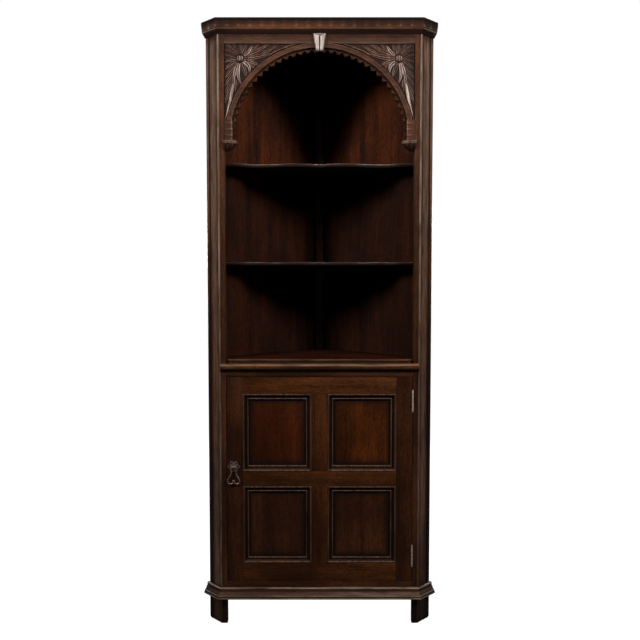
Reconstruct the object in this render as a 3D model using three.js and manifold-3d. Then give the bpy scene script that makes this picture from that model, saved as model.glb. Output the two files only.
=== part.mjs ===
// Corner cupboard in dark stained oak: an open arched upper part over a panelled door.
// Millimetres, +Z up. The front faces -Y and the square back corner points to +Y.
// In the plan below, y = 0 is the front plane of the body and y grows towards the corner.
import * as THREE from 'three';
import { mergeVertices } from 'three/addons/utils/BufferGeometryUtils.js';
import Module from 'manifold-3d';

const wasm = await Module();
wasm.setup();

// Body
const bodyHeight = 1830;
const frontHalfWidth = 302;
const cantDepth = 44;
const stileFaceWidth = 18;
const stileDepth = 20;
const postThickness = 20;
const backBoardThickness = 10;
const housingDepth = 3;
const tongueRebate = 2;
const rearPostHalfWidth = 13;
const rearPostReach = 15;
const rearChamfer = 8;
const footRound = 14;

// Heights, from the floor up to the waist and from the top down to the arch
const baseClearance = 82;
const baseMouldingHeight = 33;
const baseMouldingProjection = 20.2;
const bottomRailHeight = 48.7;
const bottomBoardThickness = 18;
const bottomBoardRise = 8;
const doorHeight = 631.5;
const waistRailHeight = 35.5;
const waistBoardThickness = 18;
const topBoardThickness = 6;
const corniceHeight = 38;
const corniceProjection = 15;
const friezeHeight = 25;

// Arch
const archSideMargin = 2;
const archBandWidth = 13.5;
const archLegLength = 4;
const archBoardThickness = 18;
const carvingDepth = 4;
const scallopSetBack = 8;
const scallopRootWidth = 4.5;
const scallopLobeDepth = 10;
const scallopCount = 36;

// Shelves
const shelfThickness = 11;
const shelfHeightShares = [0.475, 0.958];
const shelfForwardDepth = 42;
const shelfBackDepth = 62;
const cupboardShelfDepth = 40;

// Door
const doorGap = 1.5;
const doorThickness = 20;
const doorStileWidth = 48.5;
const muntinWidth = 48.5;
const topRailHeight = 51;
const middleRailHeight = 46.4;
const lowerRailHeight = 58;
const panelThickness = 8;
const panelSetBack = 9;
const grooveDepth = 8;
const panelMouldingWidth = 17.5;
const panelMouldingPride = 2;

// Hinges and handle
const hingeLength = 62;
const hingeBarrelRadius = 2.75;
const hingeKnuckles = 5;
const hingePinRadius = 1.15;
const hingeLeafWidth = 16;
const hingeLeafThickness = 1.2;
const lowerHingeDistance = 49;
const upperHingeDistance = 42;
const runningClearance = 0.1;
const handleHeight = 489.5;
const handleSideShift = 3.7;
const handlePlateRadius = 16.5;
const handleDropLength = 53;
const handleDropWidth = 42;
const handleWireRadius = 2;

// Gaps and overruns
const seam = 0.3;
const cutOverrun = 3;
const easedEdge = 1.2;

// Heights that follow
const topBoardBottom = bodyHeight - topBoardThickness;
const corniceBottom = topBoardBottom - corniceHeight;
const friezeBottom = corniceBottom - friezeHeight;
const bottomRailBottom = baseClearance + seam;
const bottomRailTop = bottomRailBottom + bottomRailHeight;
const doorBottom = bottomRailTop + doorGap;
const doorTop = doorBottom + doorHeight;
const waistRailBottom = doorTop + doorGap;
const waistBoardBottom = waistRailBottom + waistRailHeight;
const waistTop = waistBoardBottom + waistBoardThickness;

// Plan that follows
const cos45 = Math.SQRT1_2;
const openingHalfWidth = frontHalfWidth - stileFaceWidth;
const outerHalfWidth = frontHalfWidth + cantDepth;
const cantWidth = cantDepth * Math.SQRT2;
const wallReach = outerHalfWidth + cantDepth;
const boardInnerReach = wallReach - backBoardThickness * Math.SQRT2;
const postInnerOffset = frontHalfWidth - postThickness * Math.SQRT2;
const rearPostFront = boardInnerReach - rearPostHalfWidth - rearPostReach;
const planCentre = (wallReach - rearChamfer - baseMouldingProjection - seam) / 2;
const mitreSlope = Math.tan(Math.PI / 8);

// Finishes
const oak = { color: 0x3a2417, roughness: 0.45, metalness: 0 };
const oakInside = { color: 0x2c150d, roughness: 0.55, metalness: 0 };
const oakPanel = { color: 0x42200f, roughness: 0.45, metalness: 0 };
const bronze = { color: 0x54483c, roughness: 0.4, metalness: 1 };
const brass = { color: 0x86704a, roughness: 0.4, metalness: 1 };
const steel = { color: 0x76736e, roughness: 0.35, metalness: 1 };

// Turns a closed geometry into a solid for cutting and joining
function solid(geometry) {
  const bare = geometry.clone();
  bare.deleteAttribute('normal');
  bare.deleteAttribute('uv');
  const merged = mergeVertices(bare);
  return new wasm.Manifold(new wasm.Mesh({
    numProp: 3,
    vertProperties: new Float32Array(merged.attributes.position.array),
    triVerts: new Uint32Array(merged.index.array),
  }));
}

// Turns a solid back into a geometry
function surface(body) {
  const mesh = body.getMesh();
  const geometry = new THREE.BufferGeometry();
  geometry.setAttribute('position', new THREE.BufferAttribute(mesh.vertProperties, 3));
  geometry.setIndex(new THREE.BufferAttribute(mesh.triVerts, 1));
  return geometry;
}

// Mirrors a geometry in the middle plane of the cupboard, with its faces still outwards
function mirrored(geometry) {
  const copy = geometry.index ? geometry.toNonIndexed() : geometry.clone();
  const place = copy.attributes.position;
  for (let i = 0; i < place.count; i += 3) {
    const corners = [0, 2, 1].map((k) => new THREE.Vector3().fromBufferAttribute(place, i + k));
    corners.forEach((corner, k) => place.setXYZ(i + k, -corner.x, corner.y, corner.z));
  }
  copy.deleteAttribute('normal');
  copy.deleteAttribute('uv');
  return mergeVertices(copy);
}

// A plan outline raised to a height, with an optional eased edge
function raised(shape, height, ease = 0, curveSegments = 8) {
  const geometry = new THREE.ExtrudeGeometry(shape, {
    depth: height - 2 * ease,
    bevelEnabled: ease > 0,
    bevelThickness: ease,
    bevelSize: ease,
    bevelOffset: -ease,
    bevelSegments: 2,
    curveSegments,
  });
  return geometry.translate(0, 0, ease);
}

// A front-view outline in x and z, carried back from the front by its thickness
function carriedBack(shape, front, thickness, curveSegments = 8) {
  const geometry = new THREE.ExtrudeGeometry(shape, { depth: thickness, bevelEnabled: false, curveSegments });
  const turn = new THREE.Matrix4().makeBasis(
    new THREE.Vector3(1, 0, 0), new THREE.Vector3(0, 0, 1), new THREE.Vector3(0, -1, 0));
  return geometry.applyMatrix4(turn).translate(0, front + thickness, 0);
}

// A section in y and z, carried across from one x to another
function carriedAcross(section, from, to) {
  const shape = new THREE.Shape(section.map(([y, z]) => new THREE.Vector2(y, z)));
  const geometry = new THREE.ExtrudeGeometry(shape, { depth: to - from, bevelEnabled: false });
  const turn = new THREE.Matrix4().makeBasis(
    new THREE.Vector3(0, 1, 0), new THREE.Vector3(0, 0, 1), new THREE.Vector3(1, 0, 0));
  return geometry.applyMatrix4(turn).translate(from, 0, 0);
}

// A plain block between two corners
function block([x0, y0, z0], [x1, y1, z1]) {
  const geometry = new THREE.BoxGeometry(x1 - x0, y1 - y0, z1 - z0);
  return geometry.translate((x0 + x1) / 2, (y0 + y1) / 2, (z0 + z1) / 2);
}

// A plan outline from a list of corners
function plan(corners) {
  return new THREE.Shape(corners.map(([x, y]) => new THREE.Vector2(x, y)));
}

// A profile in real sizes from shares of its width and height
function scaledProfile(shares, width, height) {
  return shares.map(([u, v]) => new THREE.Vector2(u * width, v * height));
}

const cupboard = new THREE.Group();
const carcass = new THREE.Group();
const door = new THREE.Group();
const handleDrop = new THREE.Group();
cupboard.add(carcass, door, handleDrop);
cupboard.position.y = -planCentre;

// Adds one named piece with its own material
function piece(group, name, geometry, finish, height = 0) {
  const mesh = new THREE.Mesh(geometry, new THREE.MeshStandardMaterial(finish));
  mesh.name = name;
  mesh.position.z = height;
  group.add(mesh);
}

// Canted posts: one moulded length each, from the floor to the top board
const arrisBead = 6.5;
const beadQuirk = 1.6;
const fieldSink = 0.8;
const stripGroove = 2.5;
const outerStripWidth = 15.5;
const stileQuirk = 1.2;

// A point on the right-hand canted face: distance from the arris and sink below the face
function onCant(along, sink) {
  return [frontHalfWidth + (along - sink) * cos45, (along + sink) * cos45];
}

function postOutline() {
  const fieldStart = arrisBead + 2 * beadQuirk;
  const stripStart = cantWidth - outerStripWidth;
  const grooveStart = stripStart - stripGroove;
  const quirkX = frontHalfWidth - arrisBead / 2;
  return plan([
    [openingHalfWidth, 0],
    [quirkX - stileQuirk, 0],
    [quirkX, stileQuirk],
    [quirkX + stileQuirk, 0],
    [frontHalfWidth, 0],
    onCant(arrisBead, 0),
    onCant(arrisBead + beadQuirk, beadQuirk),
    onCant(fieldStart, fieldSink),
    onCant(grooveStart, fieldSink),
    onCant(grooveStart + stripGroove / 2, fieldSink + stripGroove),
    onCant(stripStart, fieldSink),
    onCant(stripStart + outerStripWidth / 4, 0),
    onCant(cantWidth - beadQuirk, 0),
    onCant(cantWidth, beadQuirk),
    onCant(cantWidth, postThickness),
    [postInnerOffset + stileDepth, stileDepth],
    [openingHalfWidth, stileDepth],
  ]);
}

// The rounded outer corner at the foot of a post, as the waste that is cut away
function footWaste() {
  const shape = new THREE.Shape();
  shape.moveTo(cantWidth + cutOverrun, -cutOverrun);
  shape.lineTo(cantWidth + cutOverrun, footRound);
  shape.lineTo(cantWidth, footRound);
  shape.absarc(cantWidth - footRound, footRound, footRound, 0, -Math.PI / 2, true);
  shape.lineTo(cantWidth - footRound, -cutOverrun);
  const depth = postThickness + 2 * cutOverrun;
  const geometry = new THREE.ExtrudeGeometry(shape, { depth, bevelEnabled: false, curveSegments: 5 });
  const turn = new THREE.Matrix4().makeBasis(
    new THREE.Vector3(cos45, cos45, 0), new THREE.Vector3(0, 0, 1), new THREE.Vector3(cos45, -cos45, 0));
  const [x, y] = onCant(0, postThickness + cutOverrun);
  return geometry.applyMatrix4(turn).translate(x, y, 0);
}

// The bed in a post or stile edge that a hinge leaf is let into
function leafBed(edge, side, bottom) {
  const deep = hingeLeafThickness + seam;
  const low = [Math.min(edge - side * cutOverrun, edge + side * deep), -cutOverrun, bottom - seam];
  const high = [Math.max(edge - side * cutOverrun, edge + side * deep),
    hingeLeafWidth + seam, bottom + hingeLength + seam];
  return block(low, high);
}

const hingeBottoms = [doorBottom + lowerHingeDistance, doorTop - upperHingeDistance - hingeLength];
const postHeight = topBoardBottom - seam;

function rightPost(withHinges) {
  let post = solid(raised(postOutline(), postHeight)).subtract(solid(footWaste()));
  if (withHinges) {
    hingeBottoms.forEach((bottom) => {
      post = post.subtract(solid(leafBed(openingHalfWidth, 1, bottom)));
    });
  }
  return surface(post);
}

piece(carcass, 'canted_post_right', rightPost(true), oak);
piece(carcass, 'canted_post_left', mirrored(rightPost(false)), oak);

// Rear post: fills the corner between the back boards and stands on the floor
function rearPostOutline() {
  const shoulder = boardInnerReach - rearPostHalfWidth;
  const outer = rearPostHalfWidth + backBoardThickness * cos45;
  return plan([
    [-rearPostHalfWidth, rearPostFront],
    [rearPostHalfWidth, rearPostFront],
    [rearPostHalfWidth, shoulder],
    [outer, wallReach - outer],
    [rearChamfer, wallReach - rearChamfer],
    [-rearChamfer, wallReach - rearChamfer],
    [-outer, wallReach - outer],
    [-rearPostHalfWidth, shoulder],
  ]);
}

piece(carcass, 'rear_post', raised(rearPostOutline(), postHeight), oakInside);

// Heights of the shelves, all housed in the back boards
const corbelHeight = 36;
const archCentre = friezeBottom - (openingHalfWidth - archSideMargin);
const archBottom = archCentre - archLegLength;
const shelfSpace = archBottom - corbelHeight - waistTop;
const shelfTops = shelfHeightShares.map((share) => waistTop + shelfSpace * share);
const bottomBoardTop = bottomRailTop + bottomBoardRise;
const cupboardShelfTop = (bottomBoardTop + waistBoardBottom) / 2;
const housings = [
  [bottomBoardTop - bottomBoardThickness, bottomBoardTop],
  [cupboardShelfTop - shelfThickness, cupboardShelfTop],
  [waistBoardBottom, waistTop],
  ...shelfTops.map((top) => [top - shelfThickness, top]),
];

// Back boards: their section in thickness and height is notched by the housings
function backBoard() {
  const section = [[0, baseClearance], [backBoardThickness, baseClearance]];
  housings.forEach(([low, high]) => {
    section.push([backBoardThickness, low - seam]);
    section.push([backBoardThickness - housingDepth, low - seam]);
    section.push([backBoardThickness - housingDepth, high - tongueRebate + seam]);
    section.push([backBoardThickness, high - tongueRebate + seam]);
  });
  section.push([backBoardThickness, postHeight], [0, postHeight]);
  const [startX, startY] = onCant(cantWidth, postThickness);
  const rearOuter = rearPostHalfWidth + backBoardThickness * cos45;
  const length = (startX - rearOuter) * Math.SQRT2 - 2 * seam;
  const geometry = new THREE.ExtrudeGeometry(plan(section), { depth: length, bevelEnabled: false });
  const turn = new THREE.Matrix4().makeBasis(
    new THREE.Vector3(-cos45, -cos45, 0), new THREE.Vector3(0, 0, 1), new THREE.Vector3(-cos45, cos45, 0));
  return geometry.applyMatrix4(turn).translate(startX - seam * cos45, startY + seam * cos45, 0);
}

piece(carcass, 'back_board_right', backBoard(), oakInside);
piece(carcass, 'back_board_left', mirrored(backBoard()), oakInside);

// Shelf plans share their sides and rear edge and differ in the front edge
const shelfSideReach = boardInnerReach + (housingDepth - seam) * Math.SQRT2;
const shelfPostOffset = postInnerOffset - seam * Math.SQRT2;
const shelfRear = rearPostFront - seam;

// The side corners of the right half, from the front edge back to the rear edge
function shelfSide() {
  const cornerX = (shelfSideReach + shelfPostOffset) / 2;
  return [[cornerX, shelfSideReach - cornerX], [shelfSideReach - shelfRear, shelfRear]];
}

function closeShelf(shape) {
  const side = shelfSide();
  side.forEach(([x, y]) => shape.lineTo(x, y));
  side.reverse().forEach(([x, y]) => shape.lineTo(-x, y));
  return shape;
}

// A shelf with a straight front edge behind the posts
function plainShelf(front) {
  const shape = new THREE.Shape();
  shape.moveTo(-front - shelfPostOffset, front);
  shape.lineTo(front + shelfPostOffset, front);
  return closeShelf(shape);
}

// A shelf that fills the opening between the stiles out to the front plane
function fullShelf(front) {
  const between = openingHalfWidth - seam;
  const behind = stileDepth + seam;
  const shape = new THREE.Shape();
  shape.moveTo(-shelfPostOffset - behind, behind);
  if (front < behind) {
    shape.lineTo(-between, behind);
    shape.lineTo(-between, front);
    shape.lineTo(between, front);
    shape.lineTo(between, behind);
  }
  shape.lineTo(shelfPostOffset + behind, behind);
  return closeShelf(shape);
}

// The serpentine front edge: ears at the ends, two swells and a cusp in the middle
const swellShare = 0.27;
const hollowShare = 0.67;
const earShare = 0.88;

function serpentineShelf() {
  const swell = openingHalfWidth * swellShare;
  const hollow = openingHalfWidth * hollowShare;
  const ear = openingHalfWidth * earShare;
  const end = shelfForwardDepth + shelfPostOffset;
  const shape = new THREE.Shape();
  shape.moveTo(-end, shelfForwardDepth);
  shape.lineTo(-ear, shelfForwardDepth);
  const bend = (x0, y0, x1, y1) => {
    const middle = (x0 + x1) / 2;
    shape.bezierCurveTo(middle, y0, middle, y1, x1, y1);
  };
  bend(-ear, shelfForwardDepth, -hollow, shelfBackDepth);
  bend(-hollow, shelfBackDepth, -swell, shelfForwardDepth);
  shape.quadraticCurveTo(-swell / 3, shelfForwardDepth, 0, shelfBackDepth);
  shape.quadraticCurveTo(swell / 3, shelfForwardDepth, swell, shelfForwardDepth);
  bend(swell, shelfForwardDepth, hollow, shelfBackDepth);
  bend(hollow, shelfBackDepth, ear, shelfForwardDepth);
  shape.lineTo(end, shelfForwardDepth);
  return closeShelf(shape);
}

// Where a shelf enters the housings it is rebated from above, which leaves a tongue
function housedShelf(name, outline, thickness, ease, finish, top) {
  const inside = boardInnerReach - seam * Math.SQRT2;
  const shoulder = plan([
    [-inside - cutOverrun, -cutOverrun], [inside + cutOverrun, -cutOverrun], [0, inside],
  ]);
  const shoulderHeight = thickness - tongueRebate;
  const waste = block([-wallReach, 0, shoulderHeight], [wallReach, wallReach, thickness + cutOverrun]);
  const overTongue = solid(waste).subtract(solid(raised(shoulder, thickness + 2 * cutOverrun)));
  const shelf = solid(raised(outline, thickness, ease)).subtract(overTongue);
  piece(carcass, name, surface(shelf), finish, top - thickness);
}

['middle_shelf', 'upper_shelf'].forEach((name, i) => {
  housedShelf(name, serpentineShelf(), shelfThickness, easedEdge, oak, shelfTops[i]);
});
housedShelf('cupboard_shelf', plainShelf(cupboardShelfDepth), shelfThickness, easedEdge,
  oakInside, cupboardShelfTop);
housedShelf('bottom_board', fullShelf(stileDepth + seam), bottomBoardThickness, 0, oakInside, bottomBoardTop);
housedShelf('waist_board', fullShelf(0), waistBoardThickness, easedEdge, oak, waistTop);

// Rails between the stiles, above and below the door
function carcassRail(height) {
  const half = openingHalfWidth - seam;
  return block([-half, 0, 0], [half, stileDepth, height]);
}

piece(carcass, 'waist_rail', carcassRail(waistRailHeight - seam), oak, waistRailBottom);
piece(carcass, 'bottom_rail', carcassRail(bottomRailHeight), oak, bottomRailBottom);

// Top board: covers the body and the cornice, flush with the walls
function topBoardOutline() {
  const arris = frontHalfWidth + mitreSlope * corniceProjection;
  const outer = corniceProjection * cos45;
  return plan([
    [-arris, -corniceProjection],
    [arris, -corniceProjection],
    [outerHalfWidth + outer, cantDepth - outer],
    [rearChamfer, wallReach - rearChamfer],
    [-rearChamfer, wallReach - rearChamfer],
    [-outerHalfWidth - outer, cantDepth - outer],
  ]);
}

piece(carcass, 'top_board', raised(topBoardOutline(), topBoardThickness, easedEdge), oak, topBoardBottom);

// Mouldings run round the front in three lengths. The plan corners go from the right-hand
// wall to the left-hand wall, each with the way in which a projection of 1 moves it.
const mouldingCorners = [
  { x: outerHalfWidth, y: cantDepth, dx: cos45, dy: -cos45 },
  { x: frontHalfWidth, y: 0, dx: mitreSlope, dy: -1 },
  { x: -frontHalfWidth, y: 0, dx: -mitreSlope, dy: -1 },
  { x: -outerHalfWidth, y: cantDepth, dx: -cos45, dy: -cos45 },
];

// Carries a profile of projection and height from one plan corner to the next
function mouldingLength(profile, from, to) {
  const geometry = new THREE.ExtrudeGeometry(new THREE.Shape(profile), { depth: 1, bevelEnabled: false });
  const place = geometry.attributes.position;
  const run = new THREE.Vector2(to.x - from.x, to.y - from.y).normalize().multiplyScalar(seam / 2);
  for (let i = 0; i < place.count; i += 1) {
    const projection = place.getX(i) + seam;
    const height = place.getY(i);
    const end = place.getZ(i);
    const corner = end > 0 ? to : from;
    const inwards = end > 0 ? -1 : 1;
    const x = corner.x + corner.dx * projection + inwards * run.x;
    const y = corner.y + corner.dy * projection + inwards * run.y;
    place.setXYZ(i, x, y, height);
  }
  geometry.computeVertexNormals();
  return geometry;
}

function mouldingSet(name, profile, bottom, finish) {
  ['right', 'front', 'left'].forEach((side, i) => {
    const geometry = mouldingLength(profile, mouldingCorners[i], mouldingCorners[i + 1]);
    piece(carcass, `${name}_${side}`, geometry, finish, bottom);
  });
}

// Cornice: a small bed moulding under a leaning band
const corniceShares = [
  [0, 0], [0.1, 0], [0.16, 0.07], [0.3, 0.15], [0.52, 0.24], [0.66, 0.32], [0.7, 0.37], [0.7, 0.4],
  [0.76, 0.42], [0.98, 1], [0, 1],
];
mouldingSet('cornice', scaledProfile(corniceShares, corniceProjection, corniceHeight - seam),
  corniceBottom, oak);

// Base moulding: bead, quirk, hollow and two fillets that spread to the bottom
const baseShares = [
  [0, 0], [1, 0], [1, 0.17], [0.91, 0.21], [0.91, 0.32], [0.8, 0.37], [0.68, 0.44], [0.58, 0.54],
  [0.54, 0.64], [0.54, 0.7], [0.42, 0.72], [0.36, 0.76], [0.38, 0.81], [0.42, 0.88], [0.38, 0.95],
  [0.26, 1], [0, 1],
];
mouldingSet('base_moulding', scaledProfile(baseShares, baseMouldingProjection, baseMouldingHeight),
  baseClearance, oak);

// Waist moulding: a round nosing with a small bed under it, from arris to arris
const nosingHeight = 25;
const nosingProjection = 9;
const nosingDrop = 12;
const nosingShares = [
  [0, 0], [0.34, 0], [0.4, 0.1], [0.66, 0.16], [0.86, 0.28], [0.98, 0.44], [1, 0.6], [0.92, 0.78],
  [0.7, 0.92], [0.4, 1], [0, 1],
];

function waistMoulding() {
  const profile = scaledProfile(nosingShares, nosingProjection, nosingHeight);
  return carriedAcross(profile.map((point) => [-seam - point.x, point.y]), -frontHalfWidth, frontHalfWidth);
}

piece(carcass, 'waist_moulding', waistMoulding(), oak, waistTop - nosingDrop - nosingHeight);

// Keystone sizes, also used to keep the carving clear of it
const keystoneTopWidth = 38;
const keystoneBottomWidth = 21;
const keystoneDrop = 14;
const keystoneProjection = 11;
const keystoneNotch = 10;
const keystoneLift = 3.3;
const keystoneShares = [
  [-1, 0], [-1, 0.72], [-0.84, 0.92], [-0.56, 1], [-0.28, 0.86], [0, 0.42], [0.28, 0.86], [0.56, 1],
  [0.84, 0.92], [1, 0.72], [1, 0],
];

// Arch board: frieze, arch band and carved spandrels, with a scalloped lip behind the band
const archOuterRadius = openingHalfWidth - archSideMargin;
const archInnerRadius = archOuterRadius - archBandWidth;
const boardHalfWidth = openingHalfWidth - seam;
const boardTop = topBoardBottom - seam;
const archLow = archBottom + seam;

// The board's outline around an opening whose edge is a list of points from right to left
function boardAround(edge) {
  const right = edge[0].x;
  const left = edge[edge.length - 1].x;
  return new THREE.Shape([
    new THREE.Vector2(-boardHalfWidth, archLow),
    new THREE.Vector2(-boardHalfWidth, boardTop),
    new THREE.Vector2(boardHalfWidth, boardTop),
    new THREE.Vector2(boardHalfWidth, archLow),
    new THREE.Vector2(right, archLow),
    ...edge,
    new THREE.Vector2(left, archLow),
  ]);
}

// Points along the half circle of the arch, at a radius that may change with the angle
function archEdge(steps, radius) {
  return Array.from({ length: steps + 1 }, (_, i) => {
    const angle = Math.PI * i / steps;
    const r = radius(angle);
    return new THREE.Vector2(r * Math.cos(angle), archCentre + r * Math.sin(angle));
  });
}

function scallopRadius(angle) {
  const lobe = Math.sin(angle * scallopCount) ** 2;
  return archInnerRadius - scallopRootWidth - scallopLobeDepth * lobe;
}

// The frieze laps over the crown of the band
function friezeShape() {
  const lap = friezeBottom - easedEdge;
  return plan([
    [-boardHalfWidth, lap], [boardHalfWidth, lap], [boardHalfWidth, boardTop], [-boardHalfWidth, boardTop],
  ]);
}

function bandShape() {
  const outer = archEdge(48, () => archOuterRadius);
  const inner = archEdge(48, () => archInnerRadius).reverse();
  return new THREE.Shape([
    new THREE.Vector2(archInnerRadius, archLow),
    new THREE.Vector2(archOuterRadius, archLow),
    ...outer,
    new THREE.Vector2(-archOuterRadius, archLow),
    new THREE.Vector2(-archInnerRadius, archLow),
    ...inner,
  ]);
}

// Carved flower in each spandrel: angle in degrees, length share and width share of each leaf
const leafLength = 60;
const leafWidth = 13;
const leafThickness = 3;
const flowerBossRadius = 11.5;
const flowerBossHeight = 6;
const flowerInset = 46.5;
const leafShares = [
  [20, 1.35, 0.9], [46, 0.84, 1.1], [98, 0.6, 1], [140, 0.86, 1.1], [166, 0.7, 0.9],
  [194, 0.74, 0.9], [226, 1.0, 1.1], [250, 1.05, 0.9], [275, 1.35, 0.9], [304, 0.86, 1.2],
  [338, 0.9, 1.1], [358, 1.02, 0.9],
];
const trailShares = [[14.5, 2.6, 0.8], [255.5, 2.6, 0.8]];

function leafShape([degrees, lengthShare, widthShare]) {
  const length = leafLength * lengthShare;
  const width = leafWidth * widthShare;
  const turn = THREE.MathUtils.degToRad(degrees);
  const at = (u, v) => [
    u * length * Math.cos(turn) - v * width * Math.sin(turn),
    u * length * Math.sin(turn) + v * width * Math.cos(turn),
  ];
  const shape = new THREE.Shape();
  shape.moveTo(0, 0);
  shape.quadraticCurveTo(...at(0.55, 0.9), ...at(1, 0));
  shape.quadraticCurveTo(...at(0.55, -0.9), 0, 0);
  return shape;
}

function flower() {
  const front = carvingDepth - leafThickness;
  const centreX = -boardHalfWidth + flowerInset;
  const centreZ = friezeBottom - flowerInset;
  const boss = new THREE.SphereGeometry(flowerBossRadius, 12, 8);
  boss.scale(1, flowerBossHeight / flowerBossRadius, 1).translate(0, carvingDepth, 0);
  let relief = solid(boss);
  [...leafShares, ...trailShares].forEach((leaf) => {
    relief = relief.add(solid(carriedBack(leafShape(leaf), front, leafThickness + easedEdge, 4)));
  });
  return relief.translate([centreX, 0, centreZ]);
}

function archBoard() {
  const plainEdge = archEdge(48, () => archInnerRadius);
  const lobedEdge = archEdge(scallopCount * 6, scallopRadius);
  const underBand = archEdge(48, () => archInnerRadius + archBandWidth / 2);
  const raisedDepth = carvingDepth + cutOverrun;
  const lip = carriedBack(boardAround(lobedEdge), scallopSetBack, archBoardThickness - scallopSetBack);
  const groundDepth = scallopSetBack + cutOverrun - carvingDepth;
  const ground = carriedBack(boardAround(plainEdge), carvingDepth, groundDepth);
  const frieze = carriedBack(friezeShape(), 0, raisedDepth);
  const band = carriedBack(bandShape(), 0, raisedDepth);
  const outside = carriedBack(boardAround(underBand), -raisedDepth, archBoardThickness);
  const leftHalf = block([-boardHalfWidth + easedEdge, -raisedDepth, archLow],
    [-keystoneTopWidth / 2, archBoardThickness, friezeBottom]);
  const left = flower().intersect(solid(outside)).intersect(solid(leftHalf));
  const right = solid(mirrored(surface(left)));
  return surface(solid(lip).add(solid(ground)).add(solid(frieze)).add(solid(band)).add(left).add(right));
}

piece(carcass, 'arch_board', archBoard(), oak);

// Keystone: a tapered block with two rounded faces meeting in a valley
function keystone() {
  const top = corniceBottom - seam;
  const bottom = archCentre + archInnerRadius - keystoneDrop;
  const shape = new THREE.Shape(keystoneShares.map(([u, v]) => new THREE.Vector2(u, -v)));
  const geometry = new THREE.ExtrudeGeometry(shape, { depth: 1, bevelEnabled: false });
  const place = geometry.attributes.position;
  for (let i = 0; i < place.count; i += 1) {
    const across = place.getX(i);
    const proud = place.getY(i);
    const rise = place.getZ(i);
    const half = THREE.MathUtils.lerp(keystoneBottomWidth, keystoneTopWidth, rise) / 2;
    const inwards = (1 - Math.abs(across)) * Math.abs(proud);
    const z = rise > 0 ? top - keystoneNotch * inwards : bottom + keystoneLift * inwards;
    place.setXYZ(i, across * half, proud * keystoneProjection - seam, z);
  }
  geometry.computeVertexNormals();
  return geometry;
}

piece(carcass, 'keystone', keystone(), oak);

// Corbels: a half-turned cap and bowl against each stile, under the legs of the arch
const corbelReach = 38;
const corbelDepth = 18;
const corbelLap = 5;
const corbelShares = [
  [0, 0], [0.2, 0], [0.26, 0.08], [0.34, 0.13], [0.56, 0.24], [0.74, 0.4], [0.84, 0.56], [0.88, 0.66],
  [0.98, 0.69], [1, 0.75], [1, 0.9], [0.96, 0.98], [0.92, 1], [0, 1],
];

function corbel() {
  const profile = scaledProfile(corbelShares, corbelReach, corbelHeight - seam);
  const turned = new THREE.LatheGeometry(profile, 28);
  turned.rotateX(Math.PI / 2);
  turned.scale(1, corbelDepth / corbelReach, 1);
  turned.translate(openingHalfWidth - seam, archBoardThickness / 2, archBottom - corbelHeight);
  const bottom = archBottom - corbelHeight - cutOverrun;
  const top = archBottom + cutOverrun;
  const behindFace = block([openingHalfWidth - seam, -seam, bottom],
    [openingHalfWidth + corbelReach + cutOverrun, corbelReach, top]);
  const pastLap = block([openingHalfWidth + corbelLap, -corbelReach, bottom],
    [openingHalfWidth + corbelReach + cutOverrun, corbelReach, top]);
  return surface(solid(turned).subtract(solid(behindFace)).subtract(solid(pastLap)));
}

piece(carcass, 'corbel_right', corbel(), oak);
piece(carcass, 'corbel_left', mirrored(corbel()), oak);

// Door frame: stiles, rails and muntins grooved for the panels, with stub tenons in the grooves
const doorHalfWidth = openingHalfWidth - doorGap;
const stileInner = doorHalfWidth - doorStileWidth;
const muntinHalf = muntinWidth / 2;
const groove = [panelSetBack - seam, panelSetBack + panelThickness + seam];
const panelHeight = (doorHeight - topRailHeight - middleRailHeight - lowerRailHeight) / 2;
const lowerPanelBottom = doorBottom + lowerRailHeight;
const middleRailBottom = lowerPanelBottom + panelHeight;
const upperPanelBottom = middleRailBottom + middleRailHeight;
const topRailBottom = upperPanelBottom + panelHeight;
const tenon = grooveDepth - seam;

// A member's outline, across by depth, with a groove in one or both of its edges
function groovedOutline(from, to, grooveFrom, grooveTo) {
  const corners = [[from, 0], [to, 0]];
  const notch = (edge, inward) => [
    [edge, groove[0]], [edge + inward * grooveDepth, groove[0]],
    [edge + inward * grooveDepth, groove[1]], [edge, groove[1]],
  ];
  if (grooveTo) corners.push(...notch(to, -1));
  corners.push([to, doorThickness], [from, doorThickness]);
  if (grooveFrom) corners.push(...notch(from, 1).reverse());
  return corners;
}

// The right-hand stile carries the hinges and the left-hand one the handle
function doorStile() {
  return solid(raised(plan(groovedOutline(stileInner, doorHalfWidth, true, false)), doorHeight)
    .translate(0, 0, doorBottom));
}

function hingeStile() {
  let stile = doorStile();
  hingeBottoms.forEach((bottom) => {
    stile = stile.subtract(solid(leafBed(doorHalfWidth, -1, bottom)));
  });
  return surface(stile);
}

const handleX = -(doorHalfWidth + stileInner) / 2 - handleSideShift;
const shankRadius = 2.5;

function handleStile() {
  const bore = new THREE.CylinderGeometry(shankRadius + seam, shankRadius + seam,
    doorThickness + 2 * cutOverrun, 16);
  bore.translate(handleX, doorThickness / 2, handleHeight);
  return surface(solid(mirrored(surface(doorStile()))).subtract(solid(bore)));
}

piece(door, 'door_stile_right', hingeStile(), oak);
piece(door, 'door_stile_left', handleStile(), oak);

// A rail reaches from stile to stile, with a stub tenon at each end
function doorRail(bottom, height, grooveBelow, grooveAbove) {
  const from = bottom + seam;
  const to = bottom + height - seam;
  const half = stileInner - seam;
  const section = groovedOutline(from, to, grooveBelow, grooveAbove).map(([z, y]) => [y, z]);
  const low = grooveBelow ? from + grooveDepth : from;
  const high = grooveAbove ? to - grooveDepth : to;
  const tenonBack = panelSetBack + panelThickness;
  const tongue = block([-half - tenon, panelSetBack, low], [half + tenon, tenonBack, high]);
  return surface(solid(carriedAcross(section, -half, half)).add(solid(tongue)));
}

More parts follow.
